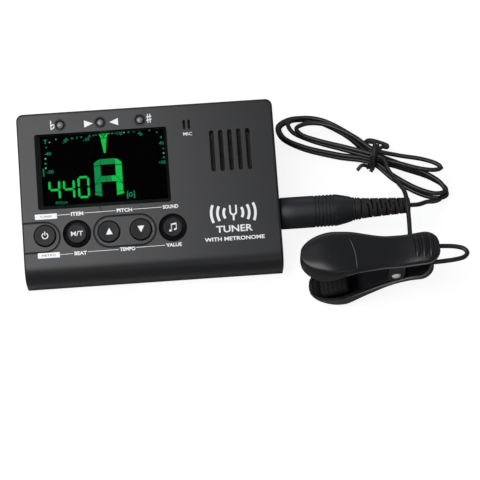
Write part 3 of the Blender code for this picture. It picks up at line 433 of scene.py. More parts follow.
def loft(bm, rings, closed=False, indices=None):
    """A surface through rings of points. Its two ends are capped unless it is closed."""
    rows = [[bm.verts.new(point) for point in ring] for ring in rings]
    pairs = list(zip(rows, rows[1:]))
    if closed:
        pairs.append((rows[-1], rows[0]))
    for number, (first, second) in enumerate(pairs):
        for i, corner in enumerate(first):
            j = (i + 1) % len(first)
            face = bm.faces.new((corner, first[j], second[j], second[i]))
            face.material_index = indices[number] if indices else 0
    if not closed:
        for row, index in ((rows[0], 0), (rows[-1], -1)):
            face = bm.faces.new(row)
            face.material_index = indices[index] if indices else 0
    return bm


def round_turns(count):
    """The angles of points spaced evenly round a circle."""
    return [2 * math.pi * i / count for i in range(count)]


def lathe(profile, sides, indices=None, bm=None, middle=(0, 0)):
    """A solid turned about Z from (radius, height) points. Points on the axis make a pole."""
    bm = bm or bmesh.new()
    rows = []
    for radius, height in profile:
        turns = round_turns(sides) if radius > 0 else [0]
        rows.append([bm.verts.new((middle[0] + radius * math.cos(a),
                                   middle[1] + radius * math.sin(a), height)) for a in turns])
    closed = len(rows[0]) > 1
    pairs = list(zip(rows, rows[1:])) + ([(rows[-1], rows[0])] if closed else [])
    for number, (first, second) in enumerate(pairs):
        for i in range(sides):
            j = (i + 1) % sides
            a, b = first[i % len(first)], first[j % len(first)]
            c, d = second[j % len(second)], second[i % len(second)]
            corners = [a, b, c, d]
            if len(first) == 1:
                corners = [a, c, d]
            elif len(second) == 1:
                corners = [a, b, c]
            face = bm.faces.new(corners)
            face.material_index = indices[number] if indices else 0
    return bm


def drum(radius, low, high, sides):
    """A plain cylinder about Z."""
    return lathe([(0, low), (radius, low), (radius, high), (0, high)], sides)


def prism(bm, outline, low, high):
    """A flat outline with its thickness from low to high."""
    return loft(bm, [[(x, y, z) for x, y in outline] for z in (low, high)])


def arc(middle, radius, start, end, steps):
    """Points on an arc, with its angles in degrees."""
    turns = [math.radians(start + (end - start) * i / steps) for i in range(steps + 1)]
    return [(middle[0] + radius * math.cos(a), middle[1] + radius * math.sin(a)) for a in turns]


def round_corners(low, high, radius, steps=5):
    """The outline of a rectangle between two corners, with round corners."""
    (x0, y0), (x1, y1) = low, high
    corners = (((x1 - radius, y1 - radius), 0), ((x0 + radius, y1 - radius), 90),
               ((x0 + radius, y0 + radius), 180), ((x1 - radius, y0 + radius), 270))
    points = []
    for middle, start in corners:
        points += arc(middle, radius, start, start + 90, steps)
    return points


def stadium(middle, width, height, steps=12):
    """An outline with two straight sides and round ends."""
    x, y = middle
    radius = min(width, height) / 2
    reach_x, reach_y = width / 2 - radius, height / 2 - radius
    if reach_x > reach_y:
        right = arc((x + reach_x, y), radius, -90, 90, steps)
        return right + arc((x - reach_x, y), radius, 90, 270, steps)
    return arc((x, y + reach_y), radius, 0, 180, steps) + arc((x, y - reach_y), radius, 180, 360,
                                                             steps)


def stroke(bm, points, width, low, high, closed=False):
    """A flat line of even width through points, with square ends."""
    count = len(points)
    rings = []
    for i, (x, y) in enumerate(points):
        before = points[(i - 1) % count] if closed or i else points[i]
        after = points[(i + 1) % count] if closed or i < count - 1 else points[i]
        run = Vector((after[0] - before[0], after[1] - before[1])).normalized()
        side = Vector((-run.y, run.x)) * width / 2
        if 0 < i < count - 1 or closed:
            step = Vector((after[0] - x, after[1] - y)).normalized()
            side /= max(0.5, abs(step.dot(run)))
        rings.append([(x + side.x, y + side.y, low), (x - side.x, y - side.y, low),
                      (x - side.x, y - side.y, high), (x + side.x, y + side.y, high)])
    loft(bm, rings, closed)


def sweep_frames(path, closed=False):
    """(point, side, up) along a path, turned as little as possible from one to the next."""
    count = len(path)
    frames = []
    up = None
    for i, point in enumerate(path):
        before = path[i - 1] if i or closed else path[i]
        after = path[(i + 1) % count] if i < count - 1 or closed else path[i]
        run = (after - before).normalized()
        if up is None:
            up = run.orthogonal().normalized()
        up = (up - run * up.dot(run)).normalized()
        frames.append((point, run.cross(up), up))
    return frames


def tube(bm, path, radius, sides, closed=False):
    """A round tube along a path. radius is one number, or a list with one for each point."""
    radii = radius if isinstance(radius, list) else [radius] * len(path)
    frames = sweep_frames([Vector(point) for point in path], closed)
    rings = [[point + (side * math.cos(a) + up * math.sin(a)) * wide for a in round_turns(sides)]
             for wide, (point, side, up) in zip(radii, frames)]
    return loft(bm, rings, closed)


def rounded_path(corners, spacing):
    """A smooth path through points, as a centripetal Catmull-Rom spline."""
    corners = [Vector(c) for c in corners]
    ends = [2 * corners[0] - corners[1]] + corners + [2 * corners[-1] - corners[-2]]
    path = []
    for p0, p1, p2, p3 in zip(ends, ends[1:], ends[2:], ends[3:]):
        t1 = (p1 - p0).length ** 0.5
        t2 = t1 + (p2 - p1).length ** 0.5
        t3 = t2 + (p3 - p2).length ** 0.5
        steps = max(1, round((p2 - p1).length / spacing))
        for i in range(steps):
            t = t1 + (t2 - t1) * i / steps
            a1 = p0.lerp(p1, t / t1)
            a2 = p1.lerp(p2, (t - t1) / (t2 - t1))
            a3 = p2.lerp(p3, (t - t2) / (t3 - t2))
            b1 = a1.lerp(a2, t / t2)
            b2 = a2.lerp(a3, (t - t1) / (t3 - t1))
            path.append(b1.lerp(b2, (t - t1) / (t2 - t1)))
    return path + [corners[-1]]


def words(bm, text, middle, height, low, high, width=None, weight=0.0, turn=0.0):
    """Raised words, made to a height and a width between low and high."""
    curve = bpy.data.curves.new("words", "FONT")
    curve.body = text
    curve.offset = weight
    curve.extrude = 0.5
    curve.resolution_u = 4
    guide = add_object("words", curve)
    graph = bpy.context.evaluated_depsgraph_get()
    mesh = bpy.data.meshes.new_from_object(guide.evaluated_get(graph))
    bpy.data.objects.remove(guide)
    bpy.data.curves.remove(curve)
    points = [v.co for v in mesh.vertices]
    lows = [min(p[i] for p in points) for i in range(2)]
    highs = [max(p[i] for p in points) for i in range(2)]
    tall = height / (highs[1] - lows[1])
    wide = width / (highs[0] - lows[0]) if width else tall
    centre = [(a + b) / 2 for a, b in zip(lows, highs)]
    place = Matrix.Translation((middle[0], middle[1], (low + high) / 2))
    place = place @ Matrix.Rotation(math.radians(turn), 4, "Z")
    place = place @ Matrix.Diagonal((wide, tall, high - low, 1))
    place = place @ Matrix.Translation((-centre[0], -centre[1], 0))
    mesh.transform(place)
    bm.from_mesh(mesh)
    bmesh.ops.remove_doubles(bm, verts=bm.verts, dist=1e-4)


# ------------------------------------------------------------------ the box's cover

CASE_WIDTH = 112
CASE_HEIGHT = 75
WALL = 1.8
SEAM = 3.34
TOP_CORNER = 3
FRONT_ROUND = 8.5
FACE_FILLET = 1
GAP = 0.3
INK_LOW = FACE_W + 0.004
INK_HIGH = FACE_W + 0.022
# Material slots of the cover: its plastic, and a darker copy of it painted as shade in its
# recesses.
CASE_INDEX, RECESS_SHADE_INDEX = 0, 1

# The display's opening: left, right, lower and upper edge on the face, and how far each of
# its walls slopes in on the way through the cover.
OPENING = (-48.4, 9.1, 32.2, 65.4)
OPENING_SLOPES = (2.2, 1.2, 1.8, 0.3)

DISHED = ("mode", "sound")
BUTTON_RADIUS = 4.6
DISHED_RADIUS = 4.2
DISH_RADIUS = 6.15
# Buttons and lamps stand a little lower than the middles of their leaning CAD boxes. The row
# of buttons is also moved right, and more so the further a button is from the row's end.
BUTTON_BIAS = Vector((0.4, -0.34, 0))
LAMP_BIAS = Vector((0, -0.4, 0))
ROW_END, ROW_CLOSING = 12.0, 0.0125
DISHED_PLAY, BUTTON_PLAY = 0.2, 0.28


def button_spot(name):
    spot = in_case(name + "_button") + BUTTON_BIAS
    spot.x += ROW_CLOSING * (ROW_END - spot.x)
    return spot


BUTTON_AT = {name: button_spot(name) for name in BUTTONS}
LAMP_AT = {name: in_case(name) + LAMP_BIAS for name in LAMPS}
SPEAKER_AT = in_case("speaker_basket")
MICROPHONE_AT = in_case("microphone")
SLOT_STEP = 3.95
SLOT_SIZE = (1.9, 18.2)
SLOT_LIFT = 1.0
SPEAKER_SLOTS = 5
MICROPHONE_STEP = 1.05
MICROPHONE_SIZE = (1, 4)
LENS_RADIUS = 1.5
RING_RADIUS = 2.5
POST_RADIUS, POST_TOP = 2.6, 18.4
PILOT_RADIUS, PILOT_TOP = 1.3, 13.3
JACK_RADIUS = 4.8
GROOVE_RADIUS = 0.4


def box_form(inset, back, fillet=0):
    """The box's outer form moved in by inset, from W = back up to its face: round corners at
    the top, and a broad round along the front of the face."""
    right = CASE_WIDTH / 2 - inset
    top = CASE_HEIGHT - inset
    face = FACE_W - inset
    bm = bmesh.new()
    bmesh.ops.create_cube(bm, size=1)
    bmesh.ops.scale(bm, vec=(2 * right, top - inset, face - back), verts=bm.verts)
    bmesh.ops.translate(bm, vec=(0, (top + inset) / 2, (face + back) / 2), verts=bm.verts)

    def upright(edge):
        a, b = (vert.co for vert in edge.verts)
        return a.y > top - 0.01 and b.y > top - 0.01 and abs(a.z - b.z) > 1

    bmesh.ops.bevel(bm, geom=[e for e in bm.edges if upright(e)], offset=TOP_CORNER - inset,
                    segments=8, profile=0.5, affect="EDGES")
    front = [e for e in bm.edges
             if all(v.co.y < inset + 0.01 and v.co.z > face - 0.01 for v in e.verts)]
    bmesh.ops.bevel(bm, geom=front, offset=FRONT_ROUND - inset, segments=18, profile=0.5,
                    affect="EDGES")

    def on_rim(edge):
        if len(edge.link_faces) != 2 or edge.calc_face_angle(0) < math.radians(50):
            return False
        if min(vert.co.z for vert in edge.verts) < back + 0.01:
            return False
        return any(abs(f.normal.z) < 0.01 and abs(f.normal.y) < 0.999 or f.normal.y > 0.999
                   for f in edge.link_faces)

    if fillet:
        bmesh.ops.bevel(bm, geom=[e for e in bm.edges if on_rim(e)], offset=fillet, segments=4,
                        profile=0.5, affect="EDGES")
    return bm


# Cutters run from inside the cover to clear of its face, and openings have a small round lip. Their
# walls, from a little below the face inwards, take the darker recess look: painted shade.
WELL_LOW = 17
WELL_HIGH = FACE_W + 0.6
LIP = 0.14
SHADE_BELOW = 0.25


def well(bm, outline):
    """A cutter for an opening with upright walls and a small round lip. outline(grow) gives
    its edge moved out by grow."""
    levels = ((0, WELL_LOW), (0, FACE_W - SHADE_BELOW), (0, FACE_W - LIP),
              (LIP * 0.3, FACE_W - 0.3 * LIP), (LIP, FACE_W), (LIP, WELL_HIGH))
    rings = [[(x, y, z) for x, y in outline(grow)] for grow, z in levels]
    loft(bm, rings, indices=[RECESS_SHADE_INDEX] + [CASE_INDEX] * 4)


def slot_well(bm, middle, size):
    well(bm, lambda grow: stadium(middle, size[0] + 2 * grow, size[1] + 2 * grow, 8))


def round_well(bm, middle, radius):
    well(bm, lambda grow: arc(middle, radius + grow, 0, 360 - 7.5, 47))


def dish_well(bm, middle, radius):
    """A cutter for a sunk button: a round hole whose rim opens out into a shallow dish."""
    profile = [(0, WELL_LOW), (radius, WELL_LOW), (radius, 18.85), (radius + 0.25, 18.9),
               (radius + 0.8, 19.05), (DISH_RADIUS - 0.5, 19.5), (DISH_RADIUS - 0.12, 19.84),
               (DISH_RADIUS, FACE_W), (DISH_RADIUS, WELL_HIGH), (0, WELL_HIGH)]
    # The hole and most of the dish take the darker look: painted shade.
    lathe(profile, 64, [RECESS_SHADE_INDEX] * 6 + [CASE_INDEX] * 3, bm, middle)


def lamp_well(bm, middle):
    """A cutter for a lamp's hole, which opens out to take its ring."""
    hole, mouth = LENS_RADIUS + 0.25, RING_RADIUS + 0.05
    profile = [(0, WELL_LOW), (hole, WELL_LOW), (hole, 19.3), (mouth - 0.1, 19.9),
               (mouth, FACE_W), (mouth, WELL_HIGH), (0, WELL_HIGH)]
    # The hole's wall takes the darker look: painted shade.
    lathe(profile, 40, [RECESS_SHADE_INDEX] * 3 + [CASE_INDEX] * 3, bm, middle)


def display_well(bm):
    """The display's opening: walls that slope in, with small round corners and a fine lip."""
    left, right, lower, upper = OPENING
    s_left, s_right, s_lower, s_upper = OPENING_SLOPES
    levels = ((1.12, 17.9, 0.5), (1.0, 18.2, 0.5), (0.05, 19.87, 0.9), (-0.03, 19.96, 0.95),
              (-0.07, FACE_W, 1.0), (-0.07, WELL_HIGH, 1.0))
    rings = []
    # Each level is a share of the walls' slope, a height and a corner radius.
    for share, w, radius in levels:
        low = (left + s_left * share, lower + s_lower * share)
        high = (right - s_right * share, upper - s_upper * share)
        rings.append([(x, y, w) for x, y in round_corners(low, high, radius)])
    # The deeper part of the walls takes the darker look: painted shade.
    loft(bm, rings, indices=[RECESS_SHADE_INDEX] * 3 + [CASE_INDEX] * 2)


def tab_path():
    """The groove round the power button's tab, from the box's left side and back to it."""
    upper, lower, end = 26.6, 13.5, -39.85
    radius = (upper - lower) / 2
    middle = (end - radius, (upper + lower) / 2)
    return [(-58, upper)] + arc(middle, radius, 90, -90, 24) + [(-58, lower)]


PAIR_SIZE = (26.8, 13.5)


def pair_path():
    """The groove round the up and down buttons."""
    middle = (BUTTON_AT["up"] + BUTTON_AT["down"]) / 2
    return stadium((middle.x, middle.y), *PAIR_SIZE, 24)


def front_cover():
    cover = piece("case_front", box_form(0, SEAM, FACE_FILLET), ("case", "recess_shade"), "case", CASE,
                  ("front_cover",))
    carve(cover, box_form(WALL, SEAM - 1), CASE)
    right = CASE_WIDTH / 2
    # The jack's hole takes the darker look: painted shade.
    jack = lathe([(0, right - 6), (JACK_RADIUS, right - 6), (JACK_RADIUS, right - 0.4),
                  (JACK_RADIUS + 0.3, right), (JACK_RADIUS + 0.3, right + 4), (0, right + 4)],
                 40, [RECESS_SHADE_INDEX] * 5)
    carve(cover, jack, PLUG)
    for name in SCREWS:
        spot = in_case(name)
        place = at_case(spot.x, spot.y)
        carve(cover, drum(POST_RADIUS, WALL + GAP, POST_TOP, 24), place, "UNION")
        carve(cover, drum(PILOT_RADIUS, 0, PILOT_TOP, 20), place)
    grooves = bmesh.new()
    for path, closed in ((tab_path(), False), (pair_path(), True)):
        tube(grooves, [(x, y, FACE_W - 0.02) for x, y in path], GROOVE_RADIUS, 12, closed)
    # The grooves take the darker look: painted shade.
    for face in grooves.faces:
        face.material_index = RECESS_SHADE_INDEX
    carve(cover, grooves, CASE)
    wells = bmesh.new()
    display_well(wells)
    for number in range(SPEAKER_SLOTS):
        u = SPEAKER_AT.x + SLOT_STEP * (number - (SPEAKER_SLOTS - 1) / 2)
        slot_well(wells, (u, SPEAKER_AT.y + SLOT_LIFT), SLOT_SIZE)
    for side in (-1, 1):
        slot_well(wells, (MICROPHONE_AT.x + MICROPHONE_STEP * side, MICROPHONE_AT.y),
                  MICROPHONE_SIZE)
    for name, spot in BUTTON_AT.items():
        if name in DISHED:
            dish_well(wells, (spot.x, spot.y), DISHED_RADIUS + DISHED_PLAY)
        else:
            round_well(wells, (spot.x, spot.y), BUTTON_RADIUS + BUTTON_PLAY)
    for spot in LAMP_AT.values():
        lamp_well(wells, (spot.x, spot.y))
    carve(cover, wells, CASE)
    flatten_broad_faces(cover)


front_cover()


# -------------------------------------------------------------------- the buttons

def power_icon(bm, low, high):
    stroke(bm, arc((0, -0.1), 1.25, 118, 422, 22), 0.42, low, high)
    stroke(bm, [(0, 0.1), (0, 1.75)], 0.42, low, high)


def mode_icon(bm, low, high):
    words(bm, "M/T", (0, 0), 2.05, low, high, width=5.2, weight=0.012)


def triangle(bm, middle, wide, tall, low, high, turn=0):
    corners = [(-wide / 2, -tall / 2), (wide / 2, -tall / 2), (0, tall / 2)]
    c, s = math.cos(math.radians(turn)), math.sin(math.radians(turn))
    outline = [(middle[0] + x * c - y * s, middle[1] + x * s + y * c) for x, y in corners]
    prism(bm, outline, low, high)


ARROW = 2.9


def up_icon(bm, low, high):
    triangle(bm, (0.1, 0.1), ARROW, ARROW, low, high)


def down_icon(bm, low, high):
    triangle(bm, (0, 0.1), ARROW, ARROW, low, high, 180)


def sound_icon(bm, low, high):
    """Two joined notes."""
    for x, y in ((-1.15, -1.45), (1.0, -0.95)):
        head = [(x + 0.62 * math.cos(a) * 1.05, y + 0.46 * math.sin(a) + 0.12 * math.cos(a))
                for a in round_turns(18)]
        prism(bm, head, low, high)
    stroke(bm, [(-0.66, -1.3), (-0.66, 1.25)], 0.3, low, high)
    stroke(bm, [(1.48, -0.8), (1.48, 1.75)], 0.3, low, high)
    prism(bm, [(-0.81, 0.75), (1.63, 1.25), (1.63, 1.95), (-0.81, 1.45)], low, high)


ICONS = (power_icon, mode_icon, up_icon, down_icon, sound_icon)
CAP_RISE = 0.78
CAP_ROLL = 0.42
FLANGE = 0.9
STEM_RADIUS, STEM_END = 1.5, 1.6


def button(name, draw_icon):
    """A cap with a slightly sunk top and a rolled edge, its flange and stem, and its icon."""
    spot = BUTTON_AT[name]
    radius = DISHED_RADIUS if name in DISHED else BUTTON_RADIUS
    under = -WALL - GAP
    profile = [(0, CAP_RISE - 0.06), (radius * 0.45, CAP_RISE - 0.04),
               (radius - 1.15, CAP_RISE + 0.04)]
    profile += arc((radius - CAP_ROLL, CAP_RISE + 0.1 - CAP_ROLL), CAP_ROLL, 88, 0, 7)
    profile += [(radius, 0), (radius, under), (radius + FLANGE, under),
                (radius + FLANGE, under - FLANGE), (STEM_RADIUS, under - FLANGE),
                (STEM_RADIUS, under - STEM_END), (0, under - STEM_END)]
    place = at_case(spot.x, spot.y, FACE_W)
    body = name + "_button"
    piece(name + "_cap", lathe(profile, 64), "button", body, place, (body,))
    icon = bmesh.new()
    draw_icon(icon, CAP_RISE - 0.02, CAP_RISE + 0.055)
    piece(name + "_icon", icon, "print", body, place)


for name, icon in zip(BUTTONS, ICONS):
    button(name, icon)


# ---------------------------------------------------------------------- the lamps

LENS_BASE = 14.5
LENS_RISE = 0.3
LENS_DOME = 0.9
FLANGE_THICK = 0.8


def dome(radius, rise, top, steps):
    """The profile of a domed end, from its pole down to its side."""
    turns = [math.pi / 2 * i / steps for i in range(steps + 1)]
    return [(radius * math.sin(a), top - rise + rise * math.cos(a)) for a in turns]


def lamp(name):
    """A domed lens with a flange, sunk in a dark ring."""
    spot = LAMP_AT[name]
    flange = LENS_RADIUS + 0.4
    profile = dome(LENS_RADIUS, LENS_DOME, FACE_W + LENS_RISE, 12)
    profile += [(LENS_RADIUS, LENS_BASE + FLANGE_THICK), (flange, LENS_BASE + FLANGE_THICK),
                (flange, LENS_BASE), (0, LENS_BASE)]
    place = at_case(spot.x, spot.y)
    piece(name + "_lens", lathe(profile, 40), "lamp", "case", place, (name,))
    inner, outer = LENS_RADIUS + 0.12, RING_RADIUS - 0.12
    ring = [(inner, 19.0), (inner + 0.1, 19.0), (outer, 19.78), (RING_RADIUS, FACE_W),
            (outer, 20.13), (2.2, 20.15), (2.0, 20.05), (inner, 19.6)]
    piece(name + "_ring", lathe(ring, 40), "lamp_ring", "case", place)


for name in LAMPS:
    lamp(name)


# ------------------------------------------------------------- what the face shows

BOXES_AT = ((-45.4, 29.1), (-45.1, 12.1))
BOX_HALF = (4.75, 1.15)
EMBLEM_AT = (35.6, 25.3)


def face_printing():
    """White marks, labels and the lines that join them, on the face."""
    low, high = INK_LOW, INK_HIGH
    bm = bmesh.new()
    words(bm, "MIC", (18.3, 61.5), 1.5, low, high, width=3.9, weight=0.01)
    triangle(bm, (-24.6, 68.9), 3.2, 3.8, low, high, -90)
    triangle(bm, (-13.6, 69.0), 3.2, 3.8, low, high, 90)
    flat_sign(bm, (-40.2, 69.1), low, high)
    sharp_sign(bm, (1.8, 69.6), low, high)
    rows = ((BOXES_AT[0], 29.5, 29.9, (("ITEM", -31.9), ("PITCH", -11.4), ("SOUND", 8.6))),
            (BOXES_AT[1], 12.2, 13.1, (("BEAT", -31.4), ("TEMPO", -11.1), ("VALUE", 9.0))))
    for box, first_v, last_v, labels in rows:
        half_u, half_v = BOX_HALF
        prism(bm, round_corners((box[0] - half_u, box[1] - half_v),
                                (box[0] + half_u, box[1] + half_v), 0.2), low, high)
        left = box[0] + half_u
        for i, (label, u) in enumerate(labels):
            v = first_v + (last_v - first_v) * i / 2
            width = 1.34 * len(label)
            words(bm, label, (u, v), 1.65, low, high, width=width, weight=0.035)
            stroke(bm, [(left + 0.2, v - 0.1), (u - width / 2 - 0.5, v)], 0.22, low, high)
            left = u + width / 2 + 0.3
    piece("face_printing", bm, "print", "case", CASE)


def box_labels():
    """Fine grey words on the two white boxes."""
    bm = bmesh.new()
    words(bm, "TUNER", BOXES_AT[0], 0.85, INK_HIGH, INK_HIGH + 0.01, width=5.2)
    words(bm, "METRO", BOXES_AT[1], 0.85, INK_HIGH, INK_HIGH + 0.01, width=5.8)
    piece("box_labels", bm, "button", "case", CASE)


def flat_sign(bm, middle, low, high):
    x, y = middle
    stroke(bm, [(x - 0.75, y + 2.2), (x - 0.75, y - 1.75)], 0.42, low, high)
    bowl = [(x - 0.6, y - 0.2), (x + 0.1, y + 0.35), (x + 0.75, y + 0.15), (x + 0.75, y - 0.45),
            (x + 0.2, y - 1.15), (x - 0.75, y - 1.8)]
    smooth_bowl = [(p.x, p.y) for p in rounded_path([(a, b, 0) for a, b in bowl], 0.25)]
    stroke(bm, smooth_bowl, 0.45, low, high)


def sharp_sign(bm, middle, low, high):
    x, y = middle
    for dx in (-0.5, 0.5):
        stroke(bm, [(x + dx, y - 2.0), (x + dx, y + 2.0)], 0.36, low, high)
    for dy in (-0.7, 0.7):
        stroke(bm, [(x - 1.1, y + dy - 0.2), (x + 1.1, y + dy + 0.2)], 0.55, low, high)


def emblem():
    """A generic mark: a tuning fork between sound arcs, and two plain lines of words."""
    low, high = INK_LOW, INK_HIGH
    bm = bmesh.new()
    u, v = EMBLEM_AT
    fork = [(u - 1.3, v + 3.4), (u - 1.3, v + 0.8)] + arc((u, v + 0.5), 1.3, 180, 360, 12)
    stroke(bm, fork + [(u + 1.3, v + 3.4)], 0.75, low, high)
    stroke(bm, [(u, v - 0.6), (u, v - 3.3)], 0.8, low, high)
    for turn in (180, 0):
        for number in range(3):
            radius = 4.2 + 2.7 * number
            stroke(bm, arc((u, v), radius, turn - 32 + 4 * number, turn + 32 - 4 * number, 16),
                   1.15, low, high)
    words(bm, "TUNER", (u, v - 6.9), 3.0, low, high, width=15.8, weight=0.02)
    words(bm, "WITH METRONOME", (u - 0.2, v - 11.2), 1.75, low, high, width=26, weight=0.03)
    piece("plain_emblem", bm, "print", "case", CASE)


# The display's figures lie just in front of the glass cell. Places are those where they show
# on the face's plane, and moving them back along the line of sight puts them on the cell.
GLASS_TOP = 16.6
FIGURE_LOW = GLASS_TOP + 0.03
FIGURE_HIGH = GLASS_TOP + 0.06
SIGHT = Vector((-0.0392, -0.155, 0.987))
SIGHT_SHIFT = SIGHT * ((FACE_W - GLASS_TOP) / SIGHT.z)


def figures(name, bm, look):
    place = CASE @ Matrix.Translation((-SIGHT_SHIFT.x, -SIGHT_SHIFT.y, 0))
    piece(name, bm, look, "case", place)


def bar(bm, start, end, width):
    """A display stroke with pointed ends."""
    a, b = Vector(start), Vector(end)
    run = (b - a).normalized()
    side = Vector((-run.y, run.x)) * width / 2
    tip = run * width / 2
    outline = [a, a + tip + side, b - tip + side, b, b - tip - side, a + tip - side]
    prism(bm, [(p.x, p.y) for p in outline], FIGURE_LOW, FIGURE_HIGH)


SEGMENTS = {"top": ((0, 1), (1, 1)), "upper_left": ((0, 0.5), (0, 1)),
            "upper_right": ((1, 0.5), (1, 1)), "middle": ((0, 0.5), (1, 0.5)),
            "lower_left": ((0, 0), (0, 0.5)), "lower_right": ((1, 0), (1, 0.5)),
            "bottom": ((0, 0), (1, 0))}
DIGITS = {"4": ("upper_left", "middle", "upper_right", "lower_right"),
          "0": ("top", "upper_left", "upper_right", "lower_left", "lower_right", "bottom")}


def digit(bm, sign, corner, size, width, gap):
    for segment in DIGITS[sign]:
        ends = []
        for x, y in SEGMENTS[segment]:
            ends.append(Vector((corner[0] + width / 2 + x * (size[0] - width),
                                corner[1] + width / 2 + y * (size[1] - width))))
        run = (ends[1] - ends[0]).normalized() * gap
        bar(bm, ends[0] + run, ends[1] - run, width)


def flat_shape(bm, outline):
    prism(bm, outline, FIGURE_LOW, FIGURE_HIGH)


def dot(bm, u, v, radius):
    flat_shape(bm, arc((u, v), radius, 0, 330, 11))


def needle_figures(bm):
    flat_shape(bm, [(-20.7, 64.2), (-19.9, 64.25), (-18.75, 62.9), (-18.75, 62.4), (-20.0, 62.4)])
    flat_shape(bm, [(-19.5, 64.3), (-17.8, 64.35), (-18.6, 63.3)])
    flat_shape(bm, [(-16.6, 64.35), (-17.4, 64.3), (-18.5, 62.9), (-18.5, 62.4), (-17.3, 62.4)])
    flat_shape(bm, [(-20.0, 62.1), (-17.3, 62.2), (-18.15, 55.6), (-18.9, 55.5)])


def note_letter(lit, dim):
    """The large A: its strokes are cells with dark lines between them."""
    left, right, low, high, wide = -23.6, -11.5, 36.7, 53.0, 2.8
    cut = 1.5
    for side, (x0, x1) in ((-1, (left, left + wide)), (1, (right - wide, right))):
        outer, inner = (x0, x1) if side < 0 else (x1, x0)
        bm = dim if side < 0 else lit
        flat_shape(bm, [(outer, 38.4), (inner, 38.2), (inner, low - 0.2),
                        (outer + 0.4 * side, low + 0.6)])
        flat_shape(bm, [(outer, 38.6), (inner, 38.4), (inner, 42.6), (outer, 41.6)])
        flat_shape(bm, [(outer, 42.0), (inner, 45.4), (inner, 50.0), (outer, 49.8)])
        flat_shape(bm, [(outer, 50.1), (inner, 50.3), (inner - side * 0.2, high - 0.1),
                        (outer - side * cut, high - 0.5), (outer, high - cut - 0.3)])
    flat_shape(dim, [(left + wide + 0.25, 50.5), (right - wide - 0.25, 50.5),
                     (right - wide - 0.25, high), (left + wide + 0.25, high - 0.1)])
    middle = (left + right) / 2
    flat_shape(dim, [(middle - 1, 42.8), (middle + 1, 42.8), (middle + 1, 45.4),
                     (middle - 1, 45.4)])
    for side, outer, bm in ((-1, left, dim), (1, right, lit)):
        near, inner = middle + 1.2 * side, outer - wide * side
        flat_shape(bm, [(near, 42.8), (inner, 42.85), (outer - 0.2 * side, 41.85),
                        (inner, 45.1), (inner - 0.3 * side, 45.4), (near, 45.4)])


def scale_figures(dim, white):
    """Cent marks round the display's edge."""
    small = ((-44.5, 50.6), (-44.5, 52.6), (-44.5, 54.7), (-43.9, 59.7), (-32.4, 63.0),
             (-30.3, 63.2), (-28.3, 63.3), (-24.7, 63.6), (-23.0, 63.7), (-21.9, 63.8),
             (-14.8, 64.1), (-13.2, 64.1), (-9.6, 64.2), (-7.6, 64.2), (-5.3, 64.2),
             (4.7, 63.3), (6.4, 61.0), (7.1, 55.8), (7.1, 53.8), (7.1, 51.9))
    for number, (u, v) in enumerate(small):
        dot(white if number in (0, 2, 12, 18) else dim, u, v, 0.33 + 0.1 * (number % 3 == 1))
    for u, v in ((-42.3, 61.9), (-39.4, 63.0), (1.6, 64.4), (-16.2, 64.1)):
        dot(white, u, v, 0.26)
    labels = (("-50", (-42.8, 48.8), 0), ("-40", (-43.4, 56.9), 0), ("-30", (-35.5, 62.1), 38),
              ("-10", (-26.3, 62.2), 12), ("10", (-11.4, 63.9), -8), ("30", (-2.6, 63.2), -40),
              ("40", (6.4, 58.4), 0), ("+50", (6.2, 49.8), 0))
    for text, middle, turn in labels:
        words(dim, text, middle, 1.45, FIGURE_LOW, FIGURE_HIGH, width=0.85 * len(text) + 0.35,
              weight=0.01, turn=turn)


def display_figures():
    lit, dim, faint, white = (bmesh.new() for _ in range(4))
    needle_figures(lit)
    note_letter(lit, dim)
    for sign, u, v in (("4", -43.9, 36.1), ("4", -37.6, 36.0), ("0", -31.2, 36.2)):
        digit(lit, sign, (u, v), (5.2, 9.8 if sign == "0" else 9.1), 1.0, 0.16)
    words(faint, "PITCH", (-38.6, 34.8), 1.25, FIGURE_LOW, FIGURE_HIGH, width=4.9)
    for side in (-1, 1):
        u = -8.3 + 1.5 * side
        bracket = [(u - 0.5 * side, 38.0), (u, 38.0), (u, 34.9), (u - 0.5 * side, 34.9)]
        stroke(faint, bracket, 0.3, FIGURE_LOW, FIGURE_HIGH)
    stroke(faint, arc((-8.3, 36.45), 0.8, 40, 330, 14), 0.42, FIGURE_LOW, FIGURE_HIGH)
    stroke(faint, [(-8.1, 36.45), (-7.5, 36.45)], 0.4, FIGURE_LOW, FIGURE_HIGH)
    stroke(faint, [(-44.9, 63.0), (-43.4, 63.1)], 0.35, FIGURE_LOW, FIGURE_HIGH)
    stroke(faint, [(-44.15, 62.9), (-44.15, 61.4)], 0.35, FIGURE_LOW, FIGURE_HIGH)
    flat_shape(dim, [(-45.9, 46.9), (-45.35, 46.9), (-45.35, 50.4), (-45.9, 50.4)])
    scale_figures(faint, white)
    figures("figures_bright", lit, "lit")
    figures("figures_dim", dim, "lit_dim")
    figures("figures_small", faint, "lit_faint")
    figures("figures_white", white, "lit_white")


face_printing()
box_labels()
emblem()
display_figures()


# ----------------------------------------------------------------------- the plug

HANDLE_START = 56.5
HANDLE_END = 92
HANDLE_RADIUS = 7
SHOULDER_START, SHOULDER_LENGTH, SHOULDER_DROP = 80.6, 9.2, 2.05
RELIEF_START = HANDLE_END + GAP
RELIEF_END = 113.8
GROOVES = [71.9 + 1.6 * i for i in range(6)]
END_RINGS = (88.5, 89.6, 90.7)
RELIEF_RADIUS, RELIEF_TAPER = 4.5, 1.15
RELIEF_SLOTS = 9
SLOT_PITCH, SLOT_WIDTH, SLOT_SPREAD = 1.95, 0.8, 128
SLOT_SLANT = 0.14
# Where the viewer looks from, as an angle about the plug.
SIGHT_ANGLE = 210


def handle_radius(x):
    """The handle's radius without its grooves."""
    share = min(1, max(0, x - SHOULDER_START) / SHOULDER_LENGTH)
    return HANDLE_RADIUS - SHOULDER_DROP * share ** 1.2


